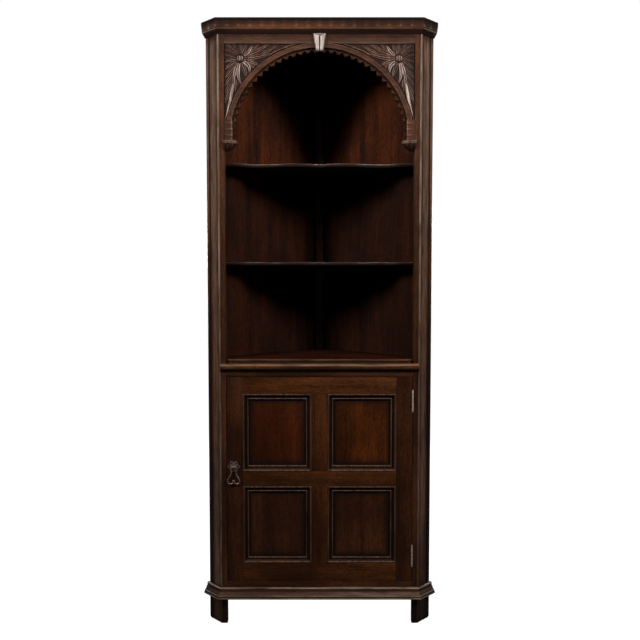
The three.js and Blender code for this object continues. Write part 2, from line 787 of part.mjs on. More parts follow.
piece(door, 'door_top_rail', doorRail(topRailBottom, topRailHeight, true, false), oak);
piece(door, 'door_middle_rail', doorRail(middleRailBottom, middleRailHeight, true, true), oak);
piece(door, 'door_bottom_rail', doorRail(doorBottom, lowerRailHeight, false, true), oak);

// A muntin stands between two rails and is tenoned into both
function muntin(bottom) {
  const body = raised(plan(groovedOutline(-muntinHalf, muntinHalf, true, true)), panelHeight - 2 * seam);
  body.translate(0, 0, bottom + seam);
  const half = muntinHalf - grooveDepth;
  const tongue = block([-half, panelSetBack, bottom - tenon + 2 * seam],
    [half, panelSetBack + panelThickness, bottom + panelHeight + tenon - 2 * seam]);
  return surface(solid(body).add(solid(tongue)));
}

// Panels and their mouldings, one pair of each above and below the middle rail
const panelMouldingShares = [
  [0, 0], [0, 0.67], [0.06, 0.89], [0.16, 1], [0.27, 0.72], [0.34, -0.1], [0.42, -0.45], [0.56, -0.5],
  [0.64, -0.3], [0.72, -0.2], [0.84, -0.24], [0.92, -0.42], [1, -0.78], [1, -1],
];

// A mitred frame of one moulding around an opening, from a profile of inset and rise
function mitredFrame(profile, halfWidth, halfHeight) {
  const count = profile.length;
  const positions = [];
  [[-1, -1], [1, -1], [1, 1], [-1, 1]].forEach(([sx, sz]) => {
    profile.forEach(({ x: inset, y: rise }) => {
      positions.push(sx * (halfWidth - inset), -rise, sz * (halfHeight - inset));
    });
  });
  const triangles = [];
  for (let corner = 0; corner < 4; corner += 1) {
    for (let i = 0; i < count; i += 1) {
      const a = corner * count + i;
      const b = corner * count + (i + 1) % count;
      const c = ((corner + 1) % 4) * count + i;
      const d = ((corner + 1) % 4) * count + (i + 1) % count;
      triangles.push(a, c, b, b, c, d);
    }
  }
  const geometry = new THREE.BufferGeometry();
  geometry.setAttribute('position', new THREE.Float32BufferAttribute(positions, 3));
  geometry.setIndex(triangles);
  return geometry;
}

function panelMoulding(centreX, centreZ, halfWidth) {
  const depth = panelSetBack - seam;
  const profile = panelMouldingShares.map(([u, v]) => {
    const rise = v > 0 ? v * panelMouldingPride : v * depth;
    return new THREE.Vector2(u * panelMouldingWidth, rise);
  });
  profile.push(new THREE.Vector2(0, -depth));
  const geometry = mitredFrame(profile, halfWidth - seam, panelHeight / 2 - seam);
  return geometry.translate(centreX, 0, centreZ);
}

const panelHalfOpening = (stileInner - muntinHalf) / 2;
const panelCentreX = (stileInner + muntinHalf) / 2;
[['upper', upperPanelBottom], ['lower', lowerPanelBottom]].forEach(([level, bottom]) => {
  piece(door, `door_muntin_${level}`, muntin(bottom), oak);
  [['left', -1], ['right', 1]].forEach(([side, sign]) => {
    const x = sign * panelCentreX;
    const half = panelHalfOpening + grooveDepth - 2 * seam;
    const overlap = grooveDepth - 2 * seam;
    const board = block([x - half, panelSetBack, bottom - overlap],
      [x + half, panelSetBack + panelThickness, bottom + panelHeight + overlap]);
    piece(door, `panel_${level}_${side}`, board, oakPanel);
    const frame = panelMoulding(x, bottom + panelHeight / 2, panelHalfOpening);
    piece(door, `panel_moulding_${level}_${side}`, frame, oak);
  });
});

// Butt hinges: knuckles stand proud of the front in the gap between door and post
const hingeX = openingHalfWidth - doorGap / 2;
const hingeY = -hingeBarrelRadius - seam;
const knuckleLength = hingeLength / hingeKnuckles;

function upright(radius, length, sides) {
  return new THREE.CylinderGeometry(radius, radius, length, sides).rotateX(Math.PI / 2);
}

// One leaf with every second knuckle; side is 1 for the post's leaf and -1 for the door's
function hingeLeaf(bottom, side, first) {
  const inner = hingeX + side * seam;
  const outer = inner + side * hingeLeafThickness;
  const x0 = Math.min(inner, outer);
  const x1 = Math.max(inner, outer);
  let leaf = solid(block([x0, 0, bottom], [x1, hingeLeafWidth, bottom + hingeLength]));
  for (let i = first; i < hingeKnuckles; i += 2) {
    const low = bottom + i * knuckleLength + seam / 2;
    const high = bottom + (i + 1) * knuckleLength - seam / 2;
    const barrel = upright(hingeBarrelRadius, high - low, 16).translate(hingeX, hingeY, (low + high) / 2);
    leaf = leaf.add(solid(block([x0, hingeY, low], [x1, easedEdge, high]))).add(solid(barrel));
  }
  const boreRadius = hingePinRadius + runningClearance;
  const bore = upright(boreRadius, hingeLength + 2 * cutOverrun, 12);
  bore.translate(hingeX, hingeY, bottom + hingeLength / 2);
  return surface(leaf.subtract(solid(bore)));
}

// The pin is as long as the hinge and has a small head at each end
function hingePin(bottom) {
  const head = hingePinRadius * 2;
  const shaft = upright(hingePinRadius, hingeLength + head, 12);
  let pin = solid(shaft.translate(hingeX, hingeY, bottom + hingeLength / 2));
  [bottom - head / 2 - seam, bottom + hingeLength + head / 2 + seam].forEach((z) => {
    pin = pin.add(solid(upright(head, head, 12).translate(hingeX, hingeY, z)));
  });
  return surface(pin);
}

['lower', 'upper'].forEach((level, i) => {
  const bottom = hingeBottoms[i];
  piece(carcass, `hinge_${level}_post_leaf`, hingeLeaf(bottom, 1, 0), brass);
  piece(carcass, `hinge_${level}_pin`, hingePin(bottom), brass);
  piece(door, `hinge_${level}_door_leaf`, hingeLeaf(bottom, -1, 1), brass);
});

// Drop handle: pierced back plate, a post with two ears, a pin and a heart-shaped drop
const plateThickness = 1.6;
const plateLobes = 6;
const plateLobeShare = 0.14;
const piercingRadius = 2.6;
const piercingPlaceShare = 0.72;
const earThickness = 2.2;
const earGap = 12.6;
const pivotRadius = 1.2;
const pivotReach = 12;
const barrelRadius = 3.2;
const pivotY = -plateThickness - seam - barrelRadius - handleWireRadius;
const nutRadius = 6;
const nutThickness = 4;

function lobedPlate() {
  const steps = plateLobes * 8;
  const outline = Array.from({ length: steps }, (_, i) => {
    const angle = 2 * Math.PI * i / steps;
    const r = handlePlateRadius * (1 + plateLobeShare * Math.cos(plateLobes * angle));
    return new THREE.Vector2(r * Math.cos(angle), r * Math.sin(angle));
  });
  const shape = new THREE.Shape(outline);
  for (let i = 0; i < plateLobes; i += 1) {
    const angle = 2 * Math.PI * i / plateLobes;
    const r = handlePlateRadius * piercingPlaceShare;
    const hole = new THREE.Path();
    hole.absarc(r * Math.cos(angle), r * Math.sin(angle), piercingRadius, 0, 2 * Math.PI);
    shape.holes.push(hole);
  }
  const centreHole = new THREE.Path();
  centreHole.absarc(0, 0, shankRadius + seam, 0, 2 * Math.PI);
  shape.holes.push(centreHole);
  return carriedBack(shape, -plateThickness - seam, plateThickness, 5);
}

function alongX(radius, length, sides) {
  return new THREE.CylinderGeometry(radius, radius, length, sides).rotateZ(Math.PI / 2);
}

// The post's shank runs through the door, and its ears carry the pivot pin
function handlePost() {
  const flangeFront = -plateThickness - 2 * seam - earThickness / 2;
  const flangeBack = -plateThickness - 2 * seam;
  const halfSpan = earGap / 2 + earThickness;
  const shankEnd = doorThickness + nutThickness + seam;
  const shankLength = shankEnd - flangeFront;
  const shank = new THREE.CylinderGeometry(shankRadius, shankRadius, shankLength, 12);
  let post = solid(shank.translate(0, (shankEnd + flangeFront) / 2, 0));
  const flange = block([-halfSpan, flangeFront, -barrelRadius], [halfSpan, flangeBack, barrelRadius]);
  post = post.add(solid(flange));
  [-1, 1].forEach((side) => {
    const x = side * (earGap + earThickness) / 2;
    const half = earThickness / 2;
    const web = block([x - half, pivotY, -barrelRadius], [x + half, flangeBack, barrelRadius]);
    const eye = alongX(barrelRadius, earThickness, 16).translate(x, pivotY, 0);
    post = post.add(solid(web)).add(solid(eye));
  });
  const boreLength = 2 * (halfSpan + cutOverrun);
  const bore = alongX(pivotRadius + runningClearance, boreLength, 12).translate(0, pivotY, 0);
  return surface(post.subtract(solid(bore)));
}

function pivotPin() {
  const headLength = earThickness / 2;
  let pin = solid(alongX(pivotRadius, 2 * pivotReach, 12));
  [-1, 1].forEach((side) => {
    const x = side * (earGap / 2 + earThickness + seam + headLength / 2);
    pin = pin.add(solid(alongX(pivotRadius * 2, headLength, 12).translate(x, 0, 0)));
  });
  const reach = earGap / 2 + earThickness + seam + headLength;
  const keep = block([-reach, -barrelRadius, -barrelRadius], [reach, barrelRadius, barrelRadius]);
  return surface(pin.intersect(solid(keep))).translate(0, pivotY, 0);
}

// Half of the heart's centre line as shares of the drop's half width and length
const heartShares = [[0.1, -0.02], [0.2, -0.16], [0.34, -0.4], [0.66, -0.62], [0.95, -0.84],
  [0.86, -0.98], [0.5, -1.03], [0.2, -0.99], [0, -0.9]];
const heartBallRadius = 3;
const heartBallShare = 0.84;

function heartDrop() {
  const halfWidth = handleDropWidth / 2 - handleWireRadius;
  const length = handleDropLength - handleWireRadius;
  const half = heartShares.map(([u, v]) => new THREE.Vector3(u * halfWidth, 0, v * length));
  const whole = [...half, ...half.slice(0, -1).reverse().map((p) => new THREE.Vector3(-p.x, 0, p.z))];
  const section = new THREE.Shape();
  section.absarc(0, 0, handleWireRadius, 0, 2 * Math.PI);
  const wire = new THREE.ExtrudeGeometry(section, {
    steps: 64, curveSegments: 4, bevelEnabled: false,
    extrudePath: new THREE.CatmullRomCurve3(whole),
  });
  const barrel = alongX(barrelRadius, earGap - 2 * seam, 16);
  const ball = new THREE.SphereGeometry(heartBallRadius, 10, 8);
  ball.translate(0, 0, -heartBallShare * length);
  const bore = alongX(pivotRadius + runningClearance, earGap + 2 * cutOverrun, 12);
  return surface(solid(wire).add(solid(barrel)).add(solid(ball)).subtract(solid(bore)));
}

function handleNut() {
  const nut = new THREE.CylinderGeometry(nutRadius, nutRadius, nutThickness, 6);
  const bore = new THREE.CylinderGeometry(shankRadius + runningClearance, shankRadius + runningClearance,
    nutThickness + 2 * cutOverrun, 12);
  return surface(solid(nut).subtract(solid(bore))).translate(0, doorThickness + seam + nutThickness / 2, 0);
}

function placedHandle(geometry) {
  return geometry.translate(handleX, 0, handleHeight);
}

piece(door, 'handle_plate', placedHandle(lobedPlate()), bronze);
piece(door, 'handle_post', placedHandle(handlePost()), bronze);
piece(door, 'handle_pin', placedHandle(pivotPin()), bronze);
piece(door, 'handle_nut', placedHandle(handleNut()), steel);
piece(handleDrop, 'handle_drop', heartDrop().translate(handleX, pivotY, handleHeight), bronze);

// Spring catch under the waist board, and the strike plate that it grips on the door
const catchWidth = 34;
const catchDepth = 16;
const catchHeight = 12;
const catchInset = 60;
const strikeThickness = 1.5;
const catchBallRadius = 4;

function catchCase() {
  const x = -openingHalfWidth + catchInset;
  const front = doorThickness + strikeThickness + catchBallRadius + 2 * seam;
  const top = waistBoardBottom - seam;
  const low = doorTop - catchHeight * 2;
  const body = block([x, front, low], [x + catchWidth, front + catchDepth, top]);
  const ball = new THREE.SphereGeometry(catchBallRadius, 12, 8);
  ball.translate(x + catchWidth / 2, front, low + catchHeight);
  return surface(solid(body).add(solid(ball)));
}

function strikePlate() {
  const x = -openingHalfWidth + catchInset;
  const low = doorTop - catchHeight * 2;
  return block([x, doorThickness, low], [x + catchWidth, doorThickness + strikeThickness, doorTop]);
}

piece(carcass, 'catch_case', catchCase(), steel);
piece(door, 'strike_plate', strikePlate().translate(0, seam, 0), steel);

export default cupboard;
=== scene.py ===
"""A corner cupboard in dark stained oak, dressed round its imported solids."""

import math

import bmesh
import bpy
import numpy as np
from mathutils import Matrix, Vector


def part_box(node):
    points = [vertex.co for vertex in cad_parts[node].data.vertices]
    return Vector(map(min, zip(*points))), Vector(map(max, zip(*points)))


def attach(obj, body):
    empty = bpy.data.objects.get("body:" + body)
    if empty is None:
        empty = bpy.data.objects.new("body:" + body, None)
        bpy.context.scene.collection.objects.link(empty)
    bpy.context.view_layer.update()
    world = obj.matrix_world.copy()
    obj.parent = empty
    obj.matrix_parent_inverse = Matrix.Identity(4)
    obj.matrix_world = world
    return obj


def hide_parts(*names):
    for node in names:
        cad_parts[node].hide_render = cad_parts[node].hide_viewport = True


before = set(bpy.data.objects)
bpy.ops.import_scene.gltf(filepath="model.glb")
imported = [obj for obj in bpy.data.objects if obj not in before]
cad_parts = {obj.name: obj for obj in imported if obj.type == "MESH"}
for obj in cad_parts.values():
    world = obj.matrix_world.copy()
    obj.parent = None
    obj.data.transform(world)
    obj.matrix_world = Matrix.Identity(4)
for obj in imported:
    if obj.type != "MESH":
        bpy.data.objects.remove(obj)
scene = bpy.context.scene
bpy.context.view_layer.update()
scene.view_settings.view_transform = "Standard"

# The camera stands in front on the middle line, a little above half height,
# and looks slightly down, as the photograph was taken.
eye_distance = 2.244
eye_height = 1.0606
eye_tilt = 0.0546
sensor_width = 36
focal_share = 743.5 / 640
front_plane = 0.18075
camera_data = bpy.data.cameras.new("camera")
camera_data.sensor_width = sensor_width
camera_data.lens = sensor_width * focal_share
camera_data.shift_x = 0.00066
camera = bpy.data.objects.new("camera", camera_data)
camera.location = (0, -eye_distance - front_plane, eye_height)
camera.rotation_euler = (math.pi / 2 - eye_tilt, 0, 0)
scene.collection.objects.link(camera)
scene.camera = camera

# The studio: a white sweep all round, a soft lamp at each side of the front, a little above
# the piece, a weak one over the camera, and two behind that show the back boards.


def feed(tree, node, inputs):
    """Sets a node's inputs by name or number. A socket is linked, and the rest are values."""
    for label, value in inputs.items():
        if isinstance(value, bpy.types.NodeSocket):
            tree.links.new(value, node.inputs[label])
        else:
            node.inputs[label].default_value = value


def add_node(tree, kind, inputs=(), **settings):
    """Adds a shader node, makes its settings, feeds its inputs and returns its outputs."""
    node = tree.nodes.new("ShaderNode" + kind)
    for label, value in settings.items():
        setattr(node, label, value)
    feed(tree, node, dict(inputs))
    return node.outputs


object_light = 0.006
gloss_light = 0.04
studio = bpy.data.worlds.new("studio")
scene.world = studio
studio.use_nodes = True
tree = studio.node_tree
rays = add_node(tree, "LightPath")
seen = add_node(tree, "Math", {0: rays["Is Camera Ray"], 1: rays["Is Transmission Ray"]},
                operation="MAXIMUM")
level = add_node(tree, "MapRange", {"Value": seen["Value"], "To Min": object_light, "To Max": 1.0})
gloss = add_node(tree, "Math", {0: rays["Is Glossy Ray"], 1: gloss_light, 2: level["Result"]},
                 operation="MULTIPLY_ADD")
feed(tree, tree.nodes["Background"], {"Color": (1, 1, 1, 1), "Strength": gloss["Value"]})

floor_reach = 9
floor_grey = (0.2, 0.2, 0.2, 1)
floor_material = bpy.data.materials.new("white floor")
floor_material.use_nodes = True
tree = floor_material.node_tree
tree.nodes.clear()
floor_place = add_node(tree, "TexCoord")["Object"]
from_middle = add_node(tree, "VectorMath", {0: floor_place}, operation="LENGTH")
whiteness = add_node(tree, "MapRange", {
    "Value": from_middle["Value"], "From Min": 0.3, "From Max": 1.5, "To Min": 0.97, "To Max": 1.0})
to_camera = add_node(tree, "LightPath")["Is Camera Ray"]
glow_level = add_node(tree, "Math", {0: to_camera, 1: whiteness["Result"]}, operation="MULTIPLY")
matt = add_node(tree, "BsdfDiffuse", {"Color": floor_grey})
glow = add_node(tree, "Emission", {"Strength": glow_level["Value"]})
both = add_node(tree, "AddShader", {0: matt["BSDF"], 1: glow["Emission"]})
add_node(tree, "OutputMaterial", {"Surface": both["Shader"]})
floor_mesh = bpy.data.meshes.new("floor")
floor_corners = [(x * floor_reach, y * floor_reach, 0) for x, y in ((-1, -1), (1, -1), (1, 1), (-1, 1))]
floor_mesh.from_pydata(floor_corners, [], [(0, 1, 2, 3)])
floor_mesh.materials.append(floor_material)
floor = bpy.data.objects.new("floor", floor_mesh)
scene.collection.objects.link(floor)


def soft_lamp(name, place, aim, width, height, power):
    """A rectangular lamp at a place, turned to face a point."""
    data = bpy.data.lights.new(name, "AREA")
    data.shape = "RECTANGLE"
    data.size = width
    data.size_y = height
    data.energy = power
    data.spread = math.radians(120)
    lamp = bpy.data.objects.new(name, data)
    towards = np.subtract(aim, place)
    reach = math.hypot(towards[0], towards[1])
    lamp.location = place
    lamp.rotation_euler = (math.atan2(reach, -towards[2]), 0, math.atan2(-towards[0], towards[1]))
    scene.collection.objects.link(lamp)


for side, name in ((-1.8, "left"), (1.8, "right")):
    soft_lamp(name + " key", (side, -1.7, 2.45), (0, -0.1, 1.9), 0.5, 0.7, 25)
soft_lamp("top", (0, -1.9, 3.2), (0, -0.1, 1.6), 0.9, 0.4, 7)
for side, name in ((-1.8, "left"), (1.8, "right")):
    soft_lamp(name + " rear", (side, 2.6, 1.2), (0, 0.1, 1.0), 0.7, 0.9, 60)

# Canted posts: one moulded length of dark stained oak at each side, cut to a narrow front face
# and a canted face with a bead on the arris, a flat field, a groove and a rounded outer strip.

# The oak's stain: long figure, streaks and open pores run with the grain. Above 0 the wear attribute mixes
# the wood towards a pale colour, for worn edges and for painted highlights; below 0 it mixes it towards near
# black, for old wax in hollows and for painted shade.
oak_group = bpy.data.node_groups.new("stained oak", "ShaderNodeTree")
oak_sockets = {
    "INPUT": {"Vector": "Vector", "Deep": "Color", "Body": "Color", "Rubbed and lit": "Color", "Wear and painted light": "Float",
              "Rough": "Float"},
    "OUTPUT": {"Color": "Color", "Roughness": "Float", "Height": "Float"},
}
for way, sockets in oak_sockets.items():
    for socket, kind in sockets.items():
        oak_group.interface.new_socket(name=socket, in_out=way, socket_type="NodeSocket" + kind)
group_in = oak_group.nodes.new("NodeGroupInput").outputs
group_out = oak_group.nodes.new("NodeGroupOutput")


def drawn_noise(stretch, size, detail, low, high):
    """Noise drawn out along Z, then spread so that low becomes 0 and high becomes 1."""
    place = {0: group_in["Vector"], 1: (1, 1, stretch)}
    drawn = add_node(oak_group, "VectorMath", place, operation="MULTIPLY")["Vector"]
    noise = add_node(oak_group, "TexNoise", {
        "Vector": drawn, "Scale": size, "Detail": detail, "Roughness": 0.6})["Fac"]
    spread = add_node(oak_group, "MapRange", {"Value": noise, "From Min": low, "From Max": high})
    return spread["Result"]


def arithmetic(operation, *terms):
    """One sum of sockets or numbers, held between 0 and 1."""
    return add_node(oak_group, "Math", dict(enumerate(terms)), operation=operation, use_clamp=True)["Value"]


def blended(share, first, second):
    """One colour over another by a share."""
    return add_node(oak_group, "Mix", {0: share, 6: first, 7: second}, data_type="RGBA")[2]


pore_black = (0.006, 0.003, 0.002, 1)
wax_and_shade_black = (0.008, 0.004, 0.003, 1)
figure = drawn_noise(0.07, 30, 5, 0.36, 0.64)
streaks = drawn_noise(0.03, 260, 3, 0.38, 0.66)
pores = drawn_noise(0.025, 800, 2, 0.52, 0.7)
patches = drawn_noise(0.5, 7, 3, 0.38, 0.62)
flecks = drawn_noise(0.3, 320, 2, 0.4, 0.64)
worn = drawn_noise(0.12, 110, 3, 0.25, 0.6)
tone = arithmetic("MULTIPLY_ADD", figure, 0.4, arithmetic("MULTIPLY", streaks, 0.25))
tone = arithmetic("MULTIPLY_ADD", flecks, 0.35, tone)
tone = arithmetic("MULTIPLY", tone, arithmetic("MULTIPLY_ADD", patches, 0.9, 0.36))
stain = blended(tone, group_in["Deep"], group_in["Body"])
pored = blended(arithmetic("MULTIPLY", pores, 0.45), stain, pore_black)
rubbing_and_painted_light = arithmetic("MULTIPLY", arithmetic("MULTIPLY", group_in["Wear and painted light"], 0.9), worn)
rubbing_and_painted_light = arithmetic("MULTIPLY", rubbing_and_painted_light, arithmetic("MULTIPLY_ADD", pores, -0.6, 1.0))
rubbing_and_painted_light = arithmetic("MULTIPLY", rubbing_and_painted_light, arithmetic("MULTIPLY_ADD", streaks, 0.45, 0.65))
rubbed_and_lit = blended(rubbing_and_painted_light, pored, group_in["Rubbed and lit"])
# Old wax and painted shade: below 0 the attribute darkens the wood towards near black.
hollow = arithmetic("MULTIPLY", group_in["Wear and painted light"], -0.75)
rough = arithmetic("MULTIPLY_ADD", pores, 0.2, group_in["Rough"])
rough = arithmetic("MULTIPLY_ADD", hollow, 0.2, rough)
feed(oak_group, group_out, {
    "Color": blended(hollow, rubbed_and_lit, wax_and_shade_black),
    "Roughness": arithmetic("MULTIPLY_ADD", patches, 0.08, rough),
    "Height": arithmetic("MULTIPLY_ADD", streaks, 0.25, arithmetic("MULTIPLY_ADD", pores, -0.6, 0.7)),
})


def srgb(red, green, blue):
    """A screen colour of 0 to 255 as the linear one that a shader takes."""
    share = np.array([red, green, blue]) / 255
    linear = np.where(share <= 0.04045, share / 12.92, ((share + 0.055) / 1.055) ** 2.4)
    return (*linear, 1)


def oak(name, deep, body, rubbed_and_lit, grain="z", turn=0.0, polish=0.05, rough=0.36):
    """Stained oak whose grain runs up, or across along X, after a turn about Z. The attribute board shifts
    the grain, and a second attribute makes the wood paler for worn edges and painted highlights, and darker
    for old wax and painted shade."""
    material = bpy.data.materials.new(name)
    material.use_nodes = True
    own = material.node_tree
    place = add_node(own, "TexCoord")["Object"]
    turned_round = add_node(own, "Mapping", {"Vector": place, "Rotation": (0, 0, turn)})
    lay = (0, math.pi / 2 if grain == "x" else 0, 0)
    laid = add_node(own, "Mapping", {"Vector": turned_round["Vector"], "Rotation": lay})
    board = add_node(own, "Attribute", attribute_name="board")["Fac"]
    relief = add_node(own, "Attribute", attribute_name="relief")["Fac"]
    apart = add_node(own, "VectorMath", {0: (0.37, 0.23, 0.91), "Scale": board}, operation="SCALE")
    moved = add_node(own, "VectorMath", {0: laid["Vector"], 1: apart["Vector"]})
    surface = add_node(own, "Group", {
        "Vector": moved["Vector"], "Deep": srgb(*deep), "Body": srgb(*body), "Rubbed and lit": srgb(*rubbed_and_lit),
        "Wear and painted light": relief, "Rough": rough}, node_tree=oak_group)
    bump = add_node(own, "Bump", {"Strength": 0.5, "Distance": 0.0006, "Height": surface["Height"]})
    feed(own, own.nodes["Principled BSDF"], {
        "Base Color": surface["Color"], "Roughness": surface["Roughness"], "Normal": bump["Normal"],
        "Coat Weight": polish, "Coat Roughness": 0.25, "Specular IOR Level": 0.09})
    return material


def eased_outline(corners, steps=5):
    """Rounds corners of two places and a radius. The quadratic curve at each starts and ends at
    radius times the tangent of half the turn from it, but never past 0.45 of the shorter edge."""
    corners = np.asarray(corners, float)
    corners, radii = corners[:, :2], corners[:, 2]
    back = np.roll(corners, 1, 0) - corners
    on = np.roll(corners, -1, 0) - corners
    back_length = np.hypot(*back.T)
    on_length = np.hypot(*on.T)
    cosine = -(back * on).sum(1) / (back_length * on_length)
    half_turn = np.arccos(np.clip(cosine, -1, 1)) / 2
    cut = np.minimum(radii * np.tan(half_turn), 0.45 * np.minimum(back_length, on_length))
    start = corners + back * (cut / back_length)[:, None]
    end = corners + on * (cut / on_length)[:, None]
    t = np.linspace(0, 1, steps)[None, :, None]
    curve = (1 - t) ** 2 * start[:, None] + 2 * t * (1 - t) * corners[:, None] + t**2 * end[:, None]
    curve = curve.reshape(-1, 2)
    apart = np.hypot(*(curve - np.roll(curve, 1, 0)).T) > 1e-4
    return curve[apart]


def filled_in(outline, step):
    """Adds points along the edges of a closed outline that are longer than a step, evenly, so
    that wear can change across a flat face."""
    ahead = np.roll(outline, -1, 0) - outline
    count = np.maximum(1, np.ceil(np.hypot(*ahead.T) / step).astype(int))
    edge = np.repeat(np.arange(len(outline)), count)
    share = (np.arange(count.sum()) - np.repeat(np.cumsum(count) - count, count)) / count[edge]
    return outline[edge] + share[:, None] * ahead[edge]


def grid_rows(across, depth, up):
    """Positions on a grid from three arrays that are spread over one another."""
    return np.stack(np.broadcast_arrays(across, depth, up), -1)


def grid_faces(rows, columns, closed=False):
    """Four-sided faces between neighbouring points of a grid whose rows are rings. In a closed
    grid the last row joins the first."""
    i = np.arange(rows if closed else rows - 1)[:, None]
    j = np.arange(columns)
    next_i = (i + 1) % rows
    next_j = (j + 1) % columns
    corners = (i * columns + j, i * columns + next_j, next_i * columns + next_j, next_i * columns + j)
    return np.stack(corners, -1).reshape(-1, 4)


def tag_points(mesh, relief, board):
    """Stores the wear with painted light and shade, and the board's number, at the points of a mesh, where
    the oak reads them.
    """
    for label, value in (("relief", relief), ("board", board)):
        held = mesh.attributes.new(label, "FLOAT", "POINT")
        held.data.foreach_set("value", np.broadcast_to(value, len(mesh.vertices)).astype(np.float32))


def add_piece(name, mesh, body, stands_for):
    """Puts a finished mesh on a body, in place of the CAD node that it stands for."""
    piece = bpy.data.objects.new(name, mesh)
    scene.collection.objects.link(piece)
    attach(piece, body)
    if stands_for:
        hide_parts(stands_for)
    return piece


def make_piece(name, points, quads, body, material, stands_for="", ends=(), relief=0.0, board=0.0,
               sharp=40):
    """Makes a mesh from points in millimetres: across, behind the front plane, up. Four-sided
    faces and many-sided ends are turned over together if their volume comes out negative."""
    points = np.asarray(points, float).reshape(-1, 3)
    a, b, c, d = (points[quads[:, k]] for k in range(4))
    volume = (np.cross(b, c) * a).sum() + (np.cross(c, d) * a).sum()
    for end in ends:
        fan = points[end]
        volume += (np.cross(fan[1:-1], fan[2:]) * fan[0]).sum()
    if volume < 0:
        quads = quads[:, ::-1]
        ends = [end[::-1] for end in ends]
    corners = np.concatenate([quads.ravel(), *ends]).astype(np.int32)
    sizes = np.concatenate([np.full(len(quads), 4), [len(end) for end in ends]]).astype(np.int32)
    mesh = bpy.data.meshes.new(name)
    mesh.vertices.add(len(points))
    mesh.loops.add(len(corners))
    mesh.polygons.add(len(sizes))
    placed = (points * 0.001 - [0, front_plane, 0]).astype(np.float32)
    mesh.vertices.foreach_set("co", placed.ravel())
    mesh.loops.foreach_set("vertex_index", corners)
    mesh.polygons.foreach_set("loop_start", np.concatenate([[0], np.cumsum(sizes)[:-1]]).astype(np.int32))
    mesh.update(calc_edges=True)
    tag_points(mesh, relief, board)
    mesh.shade_smooth()
    mesh.set_sharp_from_angle(angle=math.radians(sharp))
    mesh.materials.append(material)
    add_piece(name, mesh, body, stands_for)


def make_length(name, rows, body, material, stands_for="", relief=0.0, board=0.0, sharp=40):
    """Skins a closed outline carried through rows of positions, and closes both ends."""
    count, size, _ = rows.shape
    ends = (np.arange(size)[::-1], np.arange(size) + (count - 1) * size)
    relief = np.broadcast_to(relief, (count, size)).ravel()
    quads = grid_faces(count, size)
    make_piece(name, rows, quads, body, material, stands_for, ends, relief, board, sharp)


case_colours = ((34, 16, 8), (98, 57, 32), (140, 118, 104))
oak_up = oak("oak case, upright grain", *case_colours)
half_width = 302
stile_edge = 284
stile_back = 20
cant_depth = 44
diagonal = math.sqrt(0.5)
cant_width = cant_depth / diagonal
post_top = 1823.7
foot_round = 14


def on_cant(along, sink, radius):
    """A corner on the right-hand cant, by its distance from the arris and depth under the face."""
    return (half_width + (along - sink) * diagonal, (along + sink) * diagonal, radius)


post_corners = [
    (stile_edge, 0, 0.8), (297.6, 0, 0.4), (298.9, 1.3, 0.3), (300.2, 0, 0.8), (half_width, 0, 3),
    on_cant(6.8, 0, 2.4), on_cant(8.3, 1.9, 0.3), on_cant(9.8, 0.8, 0.3), on_cant(43.6, 0.8, 0.4),
    on_cant(45.2, 3.0, 0.5), on_cant(46.8, 0.8, 1), on_cant(50, 0, 5), on_cant(59, 0, 5),
    on_cant(62.2, 2.4, 3), on_cant(62.2, 20, 0.5), (293.7, stile_back, 0.3), (stile_edge, stile_back, 0.5),
]
post_outline = filled_in(eased_outline(post_corners), 4)
along_cant = (post_outline[:, 0] - half_width + post_outline[:, 1]) * diagonal
foot_levels = foot_round * (1 - np.cos(np.linspace(0, np.pi / 2, 9)))
head_levels = [1745, 1755, 1765, 1775, 1786, post_top]
post_levels = np.concatenate([foot_levels, np.linspace(40, 1730, 23), head_levels])
under_round = np.maximum(0, foot_round - post_levels)
reach = cant_width - foot_round + np.sqrt(np.maximum(0, foot_round**2 - under_round**2))
excess = np.maximum(0, along_cant[None, :] - reach[:, None]) * diagonal
post_rows = grid_rows(post_outline[:, 0] - excess, post_outline[:, 1] - excess, post_levels[:, None])

# Wear across a post, from its narrow face to the outer strip, is listed for the top and for the foot. The
# foot's list is darker, and the lists change between them over half a metre: painted light that falls off
# downwards. Both ends of a post are darker, the top as painted shade under the cornice, and the right post
# is painted darker near its foot, as shade.
wear_along = [-4, -2.6, -1.4, 0, 4.5, 7.2, 8.3, 10, 14, 26, 34, 40, 42.5, 43.5, 46.5, 48, 50, 58, 62]
wear_and_light_high = [0, -0.9, 0.5, 2.1, 1.8, -0.7, -0.9, -0.3, 0.45, 0.5, 0.5, 0.5, 0.2, -1.3, -1.3, 0.1, 0.7, 0.5,
             -0.8]
wear_and_light_low = [-0.3, -0.9, 0.2, 0.8, 0.6, -0.2, -0.5, 0.35, 0.45, 0.45, 0.3, -0.4, -0.9, -1.3, -1.3, -1.2,
            -0.9, -1.2, -1.3]
high_share = np.clip((post_levels - 850) / 500, 0, 1)[:, None]
post_relief = high_share * np.interp(along_cant, wear_along, wear_and_light_high)
post_relief = post_relief + (1 - high_share) * np.interp(along_cant, wear_along, wear_and_light_low)
# Painted shade under the cornice at the top of each post, and a darker foot.
end_darkening = 0.9 * (post_levels < 100) + np.interp(post_levels, [1745, 1765, 1786], [0, 0.15, 0.7])
post_relief = post_relief - end_darkening[:, None]
# Painted shade on the lower part of the right post.
right_foot_shade = np.interp(post_levels, [130, 230, 340], [0.45, 0.35, 0])[:, None]
for side, name, more_shade in ((1, "right", right_foot_shade), (-1, "left", 0)):
    make_length(f"post_{name}", post_rows * [side, 1, 1], "carcass", oak_up,
                f"canted_post_{name}", post_relief - more_shade, board=side * 0.7)

# Rear post and back boards: plain oak inside the corner, stained redder, with little polish.
# Below the upper shelf the boards are painted darker, as shade in the two lower bays and in the cupboard.
inside_colours = ((14, 5, 1), (90, 41, 15), (96, 66, 48))
